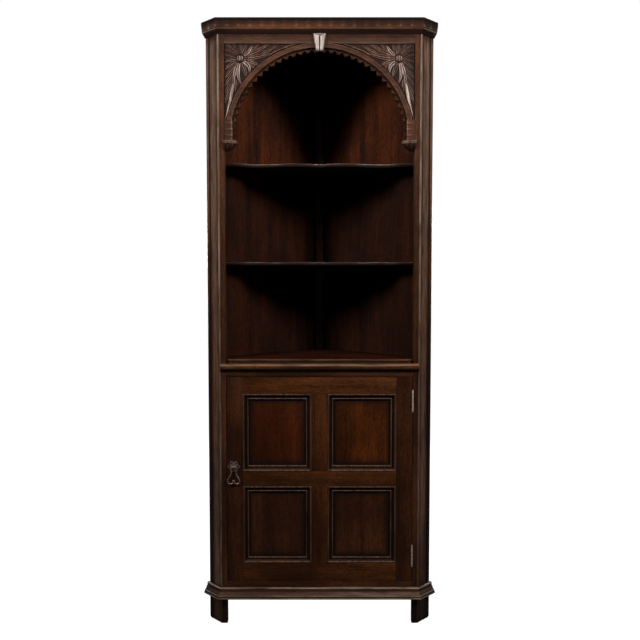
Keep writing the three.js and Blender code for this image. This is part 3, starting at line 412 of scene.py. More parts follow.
# The rear post takes a paler, greyer colour than the boards: painted sheen, standing for the light it
# reflects.
oak_rear = oak("oak rear post", (30, 18, 11), (92, 60, 42), (120, 100, 90), polish=0.1)
oak_inside = oak("oak inside, upright grain", *inside_colours, polish=0.01, rough=0.75)


def eased_copy(node, width, body, material, board=0.0, segments=2, relief=0.0):
    """A copy of a solid with its doubles merged, its flat faces rejoined and its edges rounded."""
    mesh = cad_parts[node].data.copy()
    mesh.materials.clear()
    work = bmesh.new()
    work.from_mesh(mesh)
    bmesh.ops.remove_doubles(work, verts=work.verts, dist=2e-6)
    bmesh.ops.dissolve_limit(work, angle_limit=math.radians(0.5), verts=work.verts, edges=work.edges)
    work.to_mesh(mesh)
    work.free()
    tag_points(mesh, relief, board)
    mesh.materials.append(material)
    mesh.shade_smooth()
    piece = add_piece(node + "_eased", mesh, body, node)
    edge = piece.modifiers.new("eased edges", "BEVEL")
    edge.width = width * 0.001
    edge.segments = segments
    edge.limit_method = "ANGLE"
    edge.angle_limit = math.radians(35)
    edge.harden_normals = True
    return piece


eased_copy("rear_post", 1.0, "carcass", oak_rear, board=3.1)
# Painted shade: the back boards go darker below the upper shelf.
dark_below, light_above = 1.38, 1.43
tree = oak_inside.node_tree
back_place = add_node(tree, "SeparateXYZ", {"Vector": tree.nodes["Texture Coordinate"].outputs["Object"]})
back_board_shade = add_node(tree, "MapRange", {
    "Value": back_place["Z"], "From Min": dark_below, "From Max": light_above, "To Min": -0.73,
    "To Max": 0.0})
feed(tree, tree.nodes["Group"], {"Wear and painted light": back_board_shade["Result"]})
for node in ("back_board_left", "back_board_right"):
    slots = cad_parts[node].data.materials
    slots.clear()
    slots.append(oak_inside)

# Shelves: thin oak boards housed in the back boards. The two open ones have a serpentine
# front edge that swells forward twice, and every one is rounded over along its front.
oak_shelf = oak("oak shelf", (22, 10, 5), (66, 34, 18), (222, 198, 184), "x")
oak_inside_level = oak("oak inside, level grain", *inside_colours, "x", polish=0.01, rough=0.6)
shelf_thickness = 11
board_reach = 379.68
board_face = 375.43
tongue_drop = 2
post_line = 273.29
shelf_rear = 347.56
shelf_end = 324.2
swell_near, swell_far = 42, 62


def bezier(points, t):
    """A curve over its control points by repeated straight blending."""
    points = [np.asarray(p, float)[None, :] for p in points]
    t = t[:, None]
    while len(points) > 1:
        points = [(1 - t) * p + t * q for p, q in zip(points, points[1:])]
    return points[0]


steps = np.linspace(0, 1, 40)
serpentine = np.concatenate([
    bezier([(0, swell_far), (25.6, swell_near), (76.7, swell_near)], steps),
    bezier([(76.7, swell_near), (133.5, swell_near), (133.5, swell_far), (190.3, swell_far)], steps)[1:],
    bezier([(190.3, swell_far), (220.1, swell_far), (220.1, swell_near), (249.9, swell_near)], steps)[1:],
    [(340, swell_near)],
])


def shelf_rows(columns, front, edge, top):
    """Rows across a shelf. Each runs round its section: the tongue in the back board's groove
    and the step up to the top, an edge outline of set-back and height along the front line, and
    the underside out to the walls."""
    rear = np.minimum(board_reach - np.abs(columns), shelf_rear)
    front = np.minimum(np.maximum(front, np.abs(columns) - post_line), rear)
    step = np.minimum(np.maximum(board_face - np.abs(columns), front + 0.1), rear - 0.05)
    set_back, rise = np.asarray(edge, float).T
    deep = np.minimum(front[:, None] + set_back[None, :], step[:, None])
    depth = np.concatenate([
        rear[:, None], step[:, None], step[:, None], (deep[:, -1:] + step[:, None]) / 2, deep[:, ::-1],
        (deep[:, :1] + rear[:, None]) / 2, rear[:, None],
    ], 1)
    levels = np.concatenate([[rise[-1] - tongue_drop] * 2, [rise[-1]] * 2, rise[::-1], [rise[0]] * 2]) + top
    return grid_rows(columns[:, None], depth, levels)


# The front edge is painted with a thin highlight along its upper arris, strongest on the upper shelf and
# where a shelf swells back, and painted dark below it and on the underside.
round_over = np.linspace(-np.pi / 2, np.pi / 2, 19)
half_round = np.stack([4.6 * (1 - np.cos(round_over)), shelf_thickness / 2 * (np.sin(round_over) - 1)], 1)
ends = np.linspace(250, shelf_end, 24)
columns = np.concatenate([-ends[::-1], np.linspace(-250, 250, 301)[1:-1], ends])
downwards = round_over[::-1]
edge_light = np.exp(-(((downwards - 1.0) / 0.24) ** 2))
edge_relief = np.concatenate([[-0.9, -0.9, 0, 0], edge_light - (downwards < 0.75), [-0.9, -0.9]])
front = np.interp(np.abs(columns), *serpentine.T)
swell_share = np.clip((front - swell_near) / (swell_far - swell_near), 0, 1)[:, None]
for name, top, most, least in (("middle_shelf", 1113.5, 0.5, 0.5), ("upper_shelf", 1412.96, 1.4, 0.25)):
    rows = shelf_rows(columns, front, half_round, top)
    light = most * (least + (1 - least) * swell_share)
    open_relief = np.where(edge_relief > 0, edge_relief * light, edge_relief)
    make_length(name + "_board", rows, "carcass", oak_shelf, name, open_relief, board=top / 500)
cupboard_shelf_front, cupboard_shelf_top = 40.0, 470
rows = shelf_rows(columns, np.full(len(columns), cupboard_shelf_front), half_round, cupboard_shelf_top)
make_length("cupboard_shelf_board", rows, "carcass", oak_inside_level, "cupboard_shelf",
            edge_relief, board=4.3)

# Waist: a thick oak board that floors the open part, with a fillet and a hollow along its
# front, a plain rail under it and a round nosing planted on the rail from arris to arris.
oak_across = oak("oak case, level grain", *case_colours, "x")
oak_waist = oak("oak waist board", (22, 8, 3), (68, 27, 11), (184, 134, 92), "x")
oak_moulding = oak("oak moulding, level grain", (38, 18, 6), (108, 62, 30), (206, 160, 126), "x",
                   polish=0.08)
waist_top = 819
waist_return = 20.3
post_inside = 283.7
seam = 0.3
waist_edge = eased_outline([
    (20, -18, 0), (0, -18, 0.4), (0, -14.6, 0.5), (1, -12.8, 3), (2.4, -10.2, 3), (2.2, -7.4, 3),
    (0.9, -5.6, 1), (0, -5, 0.4), (0, 0, 1.2), (20, 0, 0),
])
waist_edge = waist_edge[np.argmin(np.abs(waist_edge - [20, -18]).sum(1)):]
waist_edge = np.concatenate([waist_edge[waist_edge[:, 0] < 15], [(3.5, 0.0)]])
inner = np.linspace(-post_inside, post_inside, 61)
outer = np.concatenate([np.linspace(post_inside, 293.6, 4), np.linspace(295, shelf_end, 10)])
waist_columns = np.concatenate([-outer[::-1], inner, outer])
waist_front = np.full(len(waist_columns), waist_return)
waist_front[len(outer):-len(outer)] = 0
rows = shelf_rows(waist_columns, waist_front, waist_edge, waist_top)
# Painted light and shade: a faint highlight on the upper front arris, the lower half of the front edge
# painted dark, and the top and the ends a little darker.
upper_arris = np.exp(-((waist_edge.sum(1) / 1.6) ** 2))
waist_relief = 0.12 * upper_arris + 0.25 - 1.2 * (waist_edge[:, 1] < -9) - 0.3 * (waist_edge[:, 0] > 3)
waist_relief = np.concatenate([[-0.5, -0.5, -0.2, -0.2], waist_relief[::-1], [-0.5, -0.5]])
make_length("waist_board_moulded", rows, "carcass", oak_waist, "waist_board", waist_relief,
            board=1.9)
# The rail is painted dark, as shadow under the nosing.
eased_copy("waist_rail", 0.7, "carcass", oak_across, board=2.2, relief=-0.5)

nosing_foot = 782
nosing_corners = [
    (0, 0, 0), (3.2, 0, 0.5), (3.4, 2.6, 0.8), (6.2, 4.2, 4), (8.2, 7.6, 8), (9, 12, 8), (8.6, 17, 8),
    (6.4, 21.6, 8), (3, 24.2, 8), (0, 25, 0),
]
nosing = filled_in(eased_outline(nosing_corners), 1.5)
nosing_ends = half_width - np.array([0, 0.4, 1.4, 3, 5])
nosing_across = np.concatenate([-nosing_ends, [-150, 0, 150], nosing_ends[::-1]])
from_end = (half_width - np.abs(nosing_across)).clip(0, 5) / 5
shrink = np.sqrt(1 - (from_end - 1) ** 2 * 0.75)[:, None]
rows = grid_rows(nosing_across[:, None], -seam - nosing[:, 0] * shrink, nosing[:, 1] + nosing_foot)
# A painted highlight along the nosing's crown, and its lower half painted dark as shade.
crown_highlight = np.exp(-(((nosing[:, 1] - 19.5) / 2.8) ** 2)) * (nosing[:, 0] > 2)
nosing_relief = 0.5 * crown_highlight - 1.3 * np.clip((11 - nosing[:, 1]) / 4, 0, 1)
make_length("waist_nosing", rows, "carcass", oak_moulding, "waist_moulding", nosing_relief,
            board=2.6)

# Base: an oak rail and a floor board inside, and a spreading moulding in three mitred lengths
# that is planted round the front over the feet.
# The cant lengths take a greyer, paler stain than the front: painted sheen, standing for the light the
# canted faces reflect.
cant_colours_with_sheen = ((34, 20, 14), (82, 58, 46), (196, 174, 158))
oak_cant_right = oak("oak case, grain along the right cant", *cant_colours_with_sheen, "x", -math.pi / 4)
oak_cant_left = oak("oak case, grain along the left cant", *cant_colours_with_sheen, "x", math.pi / 4)
oak_base = oak("oak base, level grain", (36, 20, 13), (96, 60, 40), (190, 160, 136), "x")
eased_copy("bottom_rail", 0.7, "carcass", oak_across, board=5.1, relief=-0.12)
eased_copy("bottom_board", 0.8, "carcass", oak_inside_level, board=5.7)
mitre = math.tan(math.pi / 8)
cant_edge = half_width + cant_depth
plan_corners = np.array([
    (cant_edge, cant_depth), (half_width, 0), (-half_width, 0), (-cant_edge, cant_depth),
], float)
plan_leans = np.array([(diagonal, -diagonal), (mitre, -1), (-mitre, -1), (-diagonal, -diagonal)])


def mitred_rows(profile, bottom, length, stations, swell=None):
    """Carries a profile of projection and height between two plan corners. At each station the
    projection moves a point along the blend of the two corners' mitre lines."""
    start, end = plan_corners[length], plan_corners[length + 1]
    run = np.hypot(*(end - start))
    share = np.linspace(seam / 2 / run, 1 - seam / 2 / run, stations)[:, None, None]
    out = np.broadcast_to(profile[None, :, 0] + seam, (stations, len(profile)))[..., None]
    if swell is not None:
        out = out + swell(share[:, :, 0] * run, run, profile)[..., None]
    plan = (1 - share) * (start + plan_leans[length] * out) + share * (end + plan_leans[length + 1] * out)
    return grid_rows(plan[..., 0], plan[..., 1], profile[:, 1] + bottom)


base_foot = 82
base_profile = eased_outline([
    (0, 0, 0), (20.2, 0, 0.8), (20.2, 5.5, 0.8), (18.4, 7, 0.4), (18.4, 10.4, 0.8), (16, 12.2, 3),
    (13.4, 14.6, 6), (11.6, 17.8, 8), (10.6, 21, 3), (10.6, 23, 0.4), (8.2, 23.8, 0.4), (7, 25.2, 0.4),
    (7.4, 26.6, 2), (8.6, 28.4, 3), (8, 31, 3), (5.6, 33, 2), (0, 33, 0),
])
# The fillets and beads are made pale, as wear with painted highlights, the quirks and the foot dark, and the
# front length is paler towards the right.
base_heights = [0, 1, 2.5, 5, 5.6, 7, 8, 10, 12, 21, 24, 27, 29, 32, 33]
base_wear_and_highlight = [-0.9, 0.7, 1.8, 1.3, -0.9, -0.7, 0.9, 0.8, 0.05, 0.15, -0.9, -0.5, 0.8, 0.9, 0]
base_relief = np.interp(base_profile[:, 1], base_heights, base_wear_and_highlight)
length_names = ("right", "front", "left")
for length, wood in enumerate((oak_cant_right, oak_base, oak_cant_left)):
    name = length_names[length]
    rows = mitred_rows(base_profile, base_foot, length, 9)
    from_left = (rows[:, :, 0] + half_width) / (2 * half_width) if name == "front" else 0.5
    base_wear_and_light_by_side = np.where(base_relief > 0, base_relief * (0.85 + 0.4 * from_left), base_relief)
    make_length(f"base_length_{name}", rows, "carcass", wood, f"base_moulding_{name}",
                base_wear_and_light_by_side + 0.2 * (from_left > 0.5), board=6 + length)

# Arch board: one wide oak board under the cornice. It is sawn to a half circle, with a raised
# flat band round it, a scalloped lip set back behind the band and carved spandrels.
oak_band = oak("oak arch band", (38, 20, 9), (112, 66, 40), (184, 156, 140), "x", polish=0.06)
arch_height = 1479
band_outer = 282
band_inner = 268.5
arch_low = 1475.3
frieze_low = 1758
board_front, board_back = 4.4, 18
knobs = 36
knob_root, knob_length = 7.4, 6.5


def outline_relief(outline, size=2.5):
    """Turning per length round a closed outline, times a size in millimetres, as a hyperbolic
    tangent: above 0 on arrises and beads, below 0 in hollows."""
    before = outline - np.roll(outline, 1, 0)
    after = np.roll(outline, -1, 0) - outline
    cross = before[:, 0] * after[:, 1] - before[:, 1] * after[:, 0]
    angle = np.arctan2(cross, (before * after).sum(1))
    length = (np.hypot(*before.T) + np.hypot(*after.T)) / 2
    area = (outline[:, 0] * np.roll(outline[:, 1], -1) - np.roll(outline[:, 0], -1) * outline[:, 1]).sum()
    bend = np.tanh(size * angle / length * np.sign(area))
    return (np.roll(bend, 1) + 2 * bend + np.roll(bend, -1)) / 4


band_profile = eased_outline([
    (band_outer + 2, board_back, 0), (band_outer + 2, 5, 0.3), (band_outer + 0.8, 2.6, 0.8),
    (band_outer - 0.6, 0.2, 1), (band_outer - 2.4, 0, 1), (band_outer - 3.4, 1, 0.6),
    (band_inner + 1.6, 1, 0.5), (band_inner + 0.6, 0.2, 0.6), (band_inner - 0.2, 1.4, 1),
    (band_inner, 8, 0.2), (200, 8, 0),
], steps=4)
band_profile = band_profile[band_profile[:, 0] > 250]
band_points = len(band_profile)
angle = np.linspace(0, np.pi, knobs * 20 + 1)
leg = np.linspace(arch_low - arch_height, 0, 4)[:-1]
angle_all = np.concatenate([np.zeros(len(leg)), angle, np.full(len(leg), np.pi)])
drop_all = np.concatenate([leg, np.zeros(len(angle)), leg[::-1]])
from_crest = np.abs((angle_all * knobs / np.pi) % 1 * 2 - 1)
knob = np.sqrt(np.clip(1 - (from_crest / 0.62) ** 2, 0, 1))
lip_edge = band_inner - knob_root - knob_length * knob
lip_back = np.array([5.5, 3.2, 1.2, 0.0, 0.0, 0.0])
lip_limit = band_inner - 0.4 - 0.3 * np.arange(len(lip_back))
ring_r = np.concatenate([
    np.broadcast_to(band_profile[:, 0], (len(angle_all), band_points)),
    np.minimum(lip_edge[:, None] + lip_back, lip_limit),
], 1)
ring_y = np.concatenate([band_profile[:, 1], [7.2, 6.7, 7.2, 9.3, 12, board_back]])
ring_x = np.clip(ring_r * np.cos(angle_all)[:, None], -post_inside, post_inside)
ring_z = np.minimum(arch_height + ring_r * np.sin(angle_all)[:, None] + drop_all[:, None], frieze_low + 1.8)
# The lip behind the band and the knobs are painted dark, as shade under the band, least at the knob tips;
# the groove outside the band and its back edge are dark too.
flat_relief = 0.1 * outline_relief(np.stack([ring_r[len(leg)], ring_y], 1)) + 0.08
ring_relief = np.repeat(np.where(ring_y > 17, 0, flat_relief)[None, :], len(angle_all), 0)
ring_relief[:, band_points:] = 0.4 * knob[:, None] - 0.8
ring_relief[:, band_points] = -0.7
ring_relief[:, :band_points] -= 1.1 * (band_profile[:, 0] > band_outer + 0.3) * (band_profile[:, 1] < 12)
ring_relief[:, band_points - 1] = -0.9
rows = grid_rows(ring_x, ring_y, ring_z)
make_length("arch_band", rows, "carcass", oak_band, "arch_board", ring_relief, board=7.3)

frieze_height = 65.7
frieze_corners = [
    (board_back, 0, 0), (board_back, frieze_height, 0), (0.2, frieze_height, 0.5), (0.2, 1.2, 0.6),
    (1.4, 0, 0.5),
]
frieze_outline = filled_in(eased_outline(frieze_corners), 4)
frieze_across = np.linspace(-post_inside, post_inside, 9)[:, None]
rows = grid_rows(frieze_across, frieze_outline[:, 0], frieze_outline[:, 1] + frieze_low)
# Painted shadow: the frieze goes darker towards its top, under the cornice.
shadow_under_cornice = np.interp(frieze_outline[:, 1], [15, 19, 22, 28], [0.12, -0.03, -0.38, -0.7])
frieze_relief = 0.8 * outline_relief(frieze_outline) + shadow_under_cornice
make_length("frieze", rows, "carcass", oak_across, relief=frieze_relief, board=7.3)

# Carved spandrels: a flower of veined leaves round a bud, whose last leaves trail down the arch and along
# the frieze. They cover the sunk ground; their crests and some leaves are painted with highlights, and their
# veins, the moat round the bud and the ground's edges are painted with shade.
oak_carved = oak("oak carving", (38, 18, 10), (96, 57, 37), (194, 170, 156))
flower_x, flower_z = -236.4, 1715.5
bud_reach = 11.5
leaves = [
    # start, bend and tip from the bud; half width; height; lean; ribs; painted highlight
    ((-5, 6), (-24, 26), (-47, 24), 7.0, 2.4, 0.2, 3, -0.3),
    ((-5, 6), (-20, 32), (-42, 42), 9.0, 2.8, 0.2, 3, -0.3),
    ((-3, 8), (-14, 28), (-18, 44), 7.5, 2.6, -0.4, 3, -0.2),
    ((3, 8), (4, 28), (2, 44), 7.5, 2.4, 0.5, 3, -0.2),
    ((3, 8), (10, 26), (20, 43), 9.5, 2.6, 0.5, 3, -0.2),
    ((12, 8), (28, 18), (38, 40), 5.6, 4.0, 0.6, 2, 0.8),
    ((24, 14), (44, 28), (56, 43), 6.5, 2.4, 0.6, 3, 0.0),
    ((14, 6), (46, 14), (80, 36), 8.5, 3.1, -0.4, 3, 0.0),
    ((44, 20), (66, 30), (88, 43), 5.5, 2.4, 0.4, 2, 0.0),
    ((10, 1), (54, 2), (95, 16), 8.5, 3.2, 0.4, 3, 0.1),
    ((60, 10), (84, 22), (112, 38), 6.5, 2.6, -0.3, 3, 0.0),
    ((10, -5), (36, -9), (58, -22), 10.0, 3.2, -0.4, 4, 0.1),
    ((16, -10), (40, -22), (44, -34), 7.0, 2.7, -0.4, 3, 0.0),
    ((7, -9), (33, -18), (27, -43), 6.4, 4.2, 0.6, 2, 1.2),
    ((4, -12), (14, -34), (19, -60), 8.0, 2.9, -0.5, 3, 0.0),
    ((-1, -11), (-13, -44), (3, -76), 6.2, 4.0, -0.6, 2, 1.1),
    ((-5, -10), (-22, -48), (-19, -86), 5.6, 3.8, -0.5, 2, 0.8),
    ((-14, -60), (-11, -78), (-16, -98), 4.6, 3.2, 0.5, 2, 0.2),
    ((-21, -72), (-25, -113), (-45, -180), 5.6, 4.3, 0.2, 1, 1.9),
    ((-10, 1), (-28, 8), (-47, 11), 6.5, 2.7, 0.4, 3, -0.3),
    ((-10, -3), (-30, -3), (-48, -12), 6.5, 2.9, -0.4, 3, 0.0),
    ((-9, -7), (-30, -22), (-47, -34), 7.5, 2.9, 0.4, 3, 0.0),
    ((-12, -20), (-33, -42), (-47, -60), 7.5, 2.8, -0.4, 3, 0.0),
    ((-16, -40), (-34, -64), (-47, -84), 7.0, 2.7, 0.4, 3, 0.0),
    ((-20, -62), (-37, -88), (-47, -108), 6.5, 2.7, -0.4, 3, 0.0),
    ((-26, -86), (-39, -112), (-47, -134), 5.5, 2.7, 0.4, 2, 0.0),
    ((88, 9), (116, 24), (150, 36), 5.4, 2.9, 0.3, 2, 0.1),
    ((126, 30), (156, 40), (196, 43.5), 3.2, 2.4, 0.0, 2, 0.1),
]


def leaf_surface(x, z, start, bend, tip, half, lift, lean, ribs):
    """Height of one leaf over the ground. The nearest place on its curved middle line gives how
    far along and how far aside a point is. Across, the blade is rounded, parted by sharp veins
    into ribs, and leans to one side. Along, it swells to its half width and runs to a tip."""
    t = np.linspace(0, 1, 40)
    line = bezier([start, bend, tip], t)
    nearest = ((x[..., None] - line[:, 0]) ** 2 + (z[..., None] - line[:, 1]) ** 2).argmin(-1)
    off = np.stack([x, z], -1) - line[nearest]
    ahead = np.gradient(line, axis=0)[nearest]
    pace = np.hypot(ahead[..., 0], ahead[..., 1])
    aside = (off[..., 0] * ahead[..., 1] - off[..., 1] * ahead[..., 0]) / pace
    onward = (off * ahead).sum(-1) / pace
    along = np.clip(t[nearest] + onward / pace * t[1], 0, 1)
    width = half * (np.sin(np.pi * along**0.7) ** 0.7 + 0.2 * (1 - along))
    past_end = np.maximum(0, np.abs(onward) - pace)
    share = np.clip(np.sign(aside) * np.hypot(aside, past_end) / np.maximum(width, 0.3), -1, 1)
    rib = np.abs(np.sin(ribs * np.pi / 2 * (share + 1)))
    blade = (1 - share**4) ** 0.5 * (0.4 + 0.6 * rib) * (0.75 + 0.35 * lean * share)
    return lift * blade * (0.6 + 0.4 * np.sin(np.pi * along**0.6)), np.maximum(1 - rib, 1.2 * share**4)


def carving(x, z):
    """Height and painted light and shade of the carving over its ground: the tallest leaf at each point, the
    bud of three lobes and a ground of fine punch marks."""
    height = 0.25 * (0.5 + 0.5 * np.sin(x * 1.9) * np.sin(z * 1.9))
    rubbing_and_painted_light = np.full(x.shape, -0.9)
    for *leaf, shine in leaves:
        surface, vein = leaf_surface(x, z, *leaf)
        crest = surface / leaf[4]
        rubbing_and_painted_light = np.where(surface > height, 1.05 * shine * crest + 0.4 * crest - 2.0 * vein**1.5, rubbing_and_painted_light)
        height = np.maximum(height, surface)
    away = np.hypot(x, z)
    parting = np.exp(-(((np.abs(x) - 3.8 + 0.02 * z**2) / 1.1) ** 2))
    bud = (5.4 - 2.4 * parting) * np.sqrt(np.clip(1 - (away / bud_reach) ** 2, 0, 1))
    moat = np.clip((away - bud_reach) / 3, 0, 1)
    bud_light_and_shade = 0.55 - 1.5 * parting - 1.2 * (away / bud_reach) ** 4
    rubbing_and_painted_light = np.where(away < bud_reach, bud_light_and_shade, rubbing_and_painted_light - 0.6 * (1 - moat))
    return np.where(away < bud_reach, bud, height * moat), rubbing_and_painted_light


turn_steps, out_steps = 540, 130
innermost = band_outer + 2.15
bearing = np.radians(np.linspace(97.6, 175.6, turn_steps))[:, None]
to_frieze = frieze_low - 0.15 - arch_height
outermost = np.minimum(post_inside / np.abs(np.cos(bearing)), to_frieze / np.sin(bearing))
radius = innermost + (outermost - innermost) * np.linspace(0, 1, out_steps)[None, :]
ground_x = radius * np.cos(bearing)
ground_z = arch_height + radius * np.sin(bearing)
cut, rubbing_and_painted_light = carving(ground_x - flower_x, ground_z - flower_z)
from_edge = np.minimum(radius - innermost, outermost - radius)
cut = cut * np.clip(from_edge / 1.5, 0, 1)


def spread_out(field, times):
    """A field whose inner points take the mean of their four neighbours a number of times."""
    field = field.copy()
    for _ in range(times):
        field[1:-1, 1:-1] = (field[:-2, 1:-1] + field[2:, 1:-1] + field[1:-1, :-2] + field[1:-1, 2:]) / 4
    return field


# Painted light and shade: crests paler, sunk places darker, and the ground dark along its edges by the band
# and the frieze.
near_crest = np.tanh(2.2 * (cut - spread_out(cut, 5)))
wide_crest = np.tanh(0.8 * (cut - spread_out(cut, 60)))
carved_relief = 0.25 * near_crest + 0.1 * wide_crest + rubbing_and_painted_light - 0.9 * np.exp(-((from_edge / 1.3) ** 2))
carved_rows = grid_rows(ground_x, board_front - cut, ground_z)
back_rim = carved_rows[:, [0, -1]] * [1, 0, 1] + [0, board_back - 0.1, 0]
closed_rows = np.concatenate([back_rim[:, :1], carved_rows, back_rim[:, 1:]], 1)
closed_relief = np.pad(carved_relief, ((0, 0), (1, 1)))
for side, name in ((1, "left"), (-1, "right")):
    make_length(f"spandrel_{name}", closed_rows * [side, 1, 1], "carcass", oak_carved,
                relief=closed_relief, board=7.3 + side, sharp=60)

# Abutments: the foot of the band at each side is a squared oak block with a tooled face, which
# goes back towards its top.
abutment_x, abutment_y = eased_outline([
    (post_inside, 8, 0.3), (post_inside, -1.6, 0.5), (262.5, -1.6, 1.2), (259.8, 1.5, 1.5), (259.8, 8, 0.3),
], steps=4).T
abutment_levels = np.concatenate([[arch_low, 1475.8], np.linspace(1478, 1532, 40), [1534, 1535.6, 1536.4]])
tooling = 0.2 * np.sin(abutment_levels * 0.53) * np.sin(abutment_levels * 0.17)
tooling[:2] = 0.0
sink = tooling + 3.2 * np.clip((abutment_levels - 1532) / 4.4, 0, 1) ** 2
front_share = np.clip((6 - abutment_y) / 7, 0, 1)
rows = grid_rows(abutment_x, abutment_y + sink[:, None] * front_share, abutment_levels[:, None])
inner_arris = np.exp(-(((abutment_x - 261.5) / 1.6) ** 2)) * (abutment_y < 3)
abutment_relief = 0.9 * inner_arris - 0.25 - 1.2 * tooling[:, None]
for side, name in ((1, "right"), (-1, "left")):
    make_length(f"abutment_{name}", rows * [side, 1, 1], "carcass", oak_carved,
                relief=abutment_relief, board=side * 2.9)

# Keystone: a tapered oak block planted on the crown of the arch. Two rounded faces fold to a valley, and its
# top is notched. Its pale stain and its paler faces are painted sheen and highlight, and the valley is
# painted dark.
oak_keystone = oak("oak keystone, painted sheen", (96, 74, 66), (150, 126, 118), (214, 196, 190), polish=0.5)
key_foot, key_head = 1733.5, 1785.7
key_narrow, key_wide, key_thick = 21, 38, 11
face_turn = np.linspace(0, np.pi, 15)
one_face = np.stack([0.5 - 0.5 * np.cos(face_turn), 0.42 + 0.58 * np.sin(face_turn) ** 0.8], 1)
one_face[-1, 1] = 0.55
key_section = np.concatenate([[(-1, 0)], one_face[::-1] * [-1, 1], one_face[1:], [(1, 0)]])
key_aside, key_out = np.abs(key_section[:, 0]), key_section[:, 1]
key_rise = np.concatenate([[0, 0.01, 0.03, 0.07], np.linspace(0.14, 0.93, 10), [0.98, 1]])[:, None]
key_half = (key_narrow + (key_wide - key_narrow) * key_rise) / 2
key_close = np.sqrt(1 - (1 - np.clip(key_rise / 0.07, 0, 1)) ** 2 * 0.7)
key_top = key_head - 10 * (1 - key_aside) * (key_out > 0)
key_low = key_foot + 2.5 * key_aside * (key_out > 0)
rows = grid_rows(key_section[:, 0] * key_half, -seam - key_thick * key_out * key_close,
                 key_low + (key_top - key_low) * key_rise)
# Painted highlight on the faces and painted shade in the valley.
key_relief = np.where(key_aside < 0.12, -0.9, 0.7 * key_out)
make_length("keystone_block", rows, "carcass", oak_keystone, "keystone", key_relief)

# Corbels: a half-turned oak cap over a ribbed bowl under each leg of the arch, cut flat against
# the stile and lapping a little over its face.
corbel_foot = 1439.3
corbel_middle, corbel_squash = 9, 18 / 38
corbel_profile = eased_outline([
    (0, 0, 0), (6.5, 0, 1), (8.8, 1.8, 1.4), (8.2, 3.4, 0.6), (12.5, 5, 3), (20.5, 8.6, 8), (27.5, 13.6, 8),
    (31.6, 19, 8), (33, 23.4, 2), (32.4, 24.6, 0.5), (37.6, 25.4, 1), (38.6, 27.2, 1), (38.6, 32.4, 1.5),
    (37, 34.6, 1), (36, 35.7, 0.5), (0, 35.7, 0),
], steps=4)
corbel_out, corbel_up = np.roll(corbel_profile, -int(np.argmin(corbel_profile.sum(1))), 0).T
swing = np.radians(np.linspace(-98, 90, 95))[:, None]
bowl = np.clip((corbel_up - 3) / 6, 0, 1) * np.clip((24 - corbel_up) / 3, 0, 1)
ribbing = np.abs(np.sin(swing * 6.5)) * bowl
corbel_r = corbel_out - 1.2 * bowl + 1.5 * ribbing
corbel_y = corbel_middle + corbel_squash * corbel_r * np.sin(swing)
lap = np.where(corbel_y < -0.35, 5.0, 0.0)
corbel_x = np.minimum(post_inside - corbel_r * np.cos(swing), post_inside + lap)
rows = grid_rows(corbel_x, corbel_y, corbel_up + corbel_foot)
# Painted light and shade: the cap is paler and the bowl darker, with paler ribs.
corbel_relief = (1.4 * ribbing**2 - 1.4) * bowl + np.where(corbel_up > 25, 0.4, -0.2)
for side, name in ((1, "right"), (-1, "left")):
    make_length(f"corbel_carved_{name}", rows * [side, 1, 1], "carcass", oak_up,
                f"corbel_{name}", corbel_relief, board=side * 1.3)

# Cornice: an oak bed moulding under a leaning band of upright thumb cuts, in three mitred lengths, and a
# thin board that covers the top. The band is painted darker towards its top, as shade under the board, and
# the bed moulding is painted dark with a highlight on its upper arris.
cornice_low = 1786
flute_pitch = 34.5
flute_depth = 0.5
cornice_profile = eased_outline([
    (0, 0, 0), (1.5, 0, 0.5), (2.4, 2.6, 1.5), (4.6, 5.8, 4), (7.8, 9.2, 5), (9.8, 12, 2), (10.6, 13.8, 0.6),
    (10.6, 15.4, 0.3), (11.6, 16, 0.6), (14.7, 37.7, 0.4),
], steps=4)
band_low, band_high = 16.6, 37.2
band_face = np.stack([np.linspace(11.7, 14.6, 16), np.linspace(band_low, band_high, 16)], 1)
below = cornice_profile[(cornice_profile[:, 1] < band_low) | (cornice_profile[:, 0] < 1)]
below = np.roll(below, -int(np.argmin(np.abs(below).sum(1))), 0)
below = below[below[:, 1] < band_low]
cornice_profile = np.concatenate([below, band_face, [(14.7, 37.7), (0, 37.7)]])


def flutes(run, whole, profile):
    """Height of the fluted band, 0 or less: in each cell a shallow circular hollow as wide as the
    cell less a narrow ridge, which runs out towards the top and the foot of the band."""
    count = round(whole / flute_pitch)
    across = (run / whole * count) % 1 * 2 - 1
    hollow = np.sqrt(np.clip(1 - (across / 0.88) ** 2, 0, 1))
    share = (profile[None, :, 1] - band_low) / (band_high - band_low)
    fade = np.sqrt(np.clip(1 - np.abs(2 * share - 1) ** 3, 0, 1))
    return -flute_depth * hollow * fade


# Painted shade: the band goes darker towards its top, under the board.
shade_under_top_board = np.interp(cornice_profile[:, 1], [22, 25, 28, 31, 34, 36], [0, 0.25, 0.5, 0.85, 1.2, 1.6])
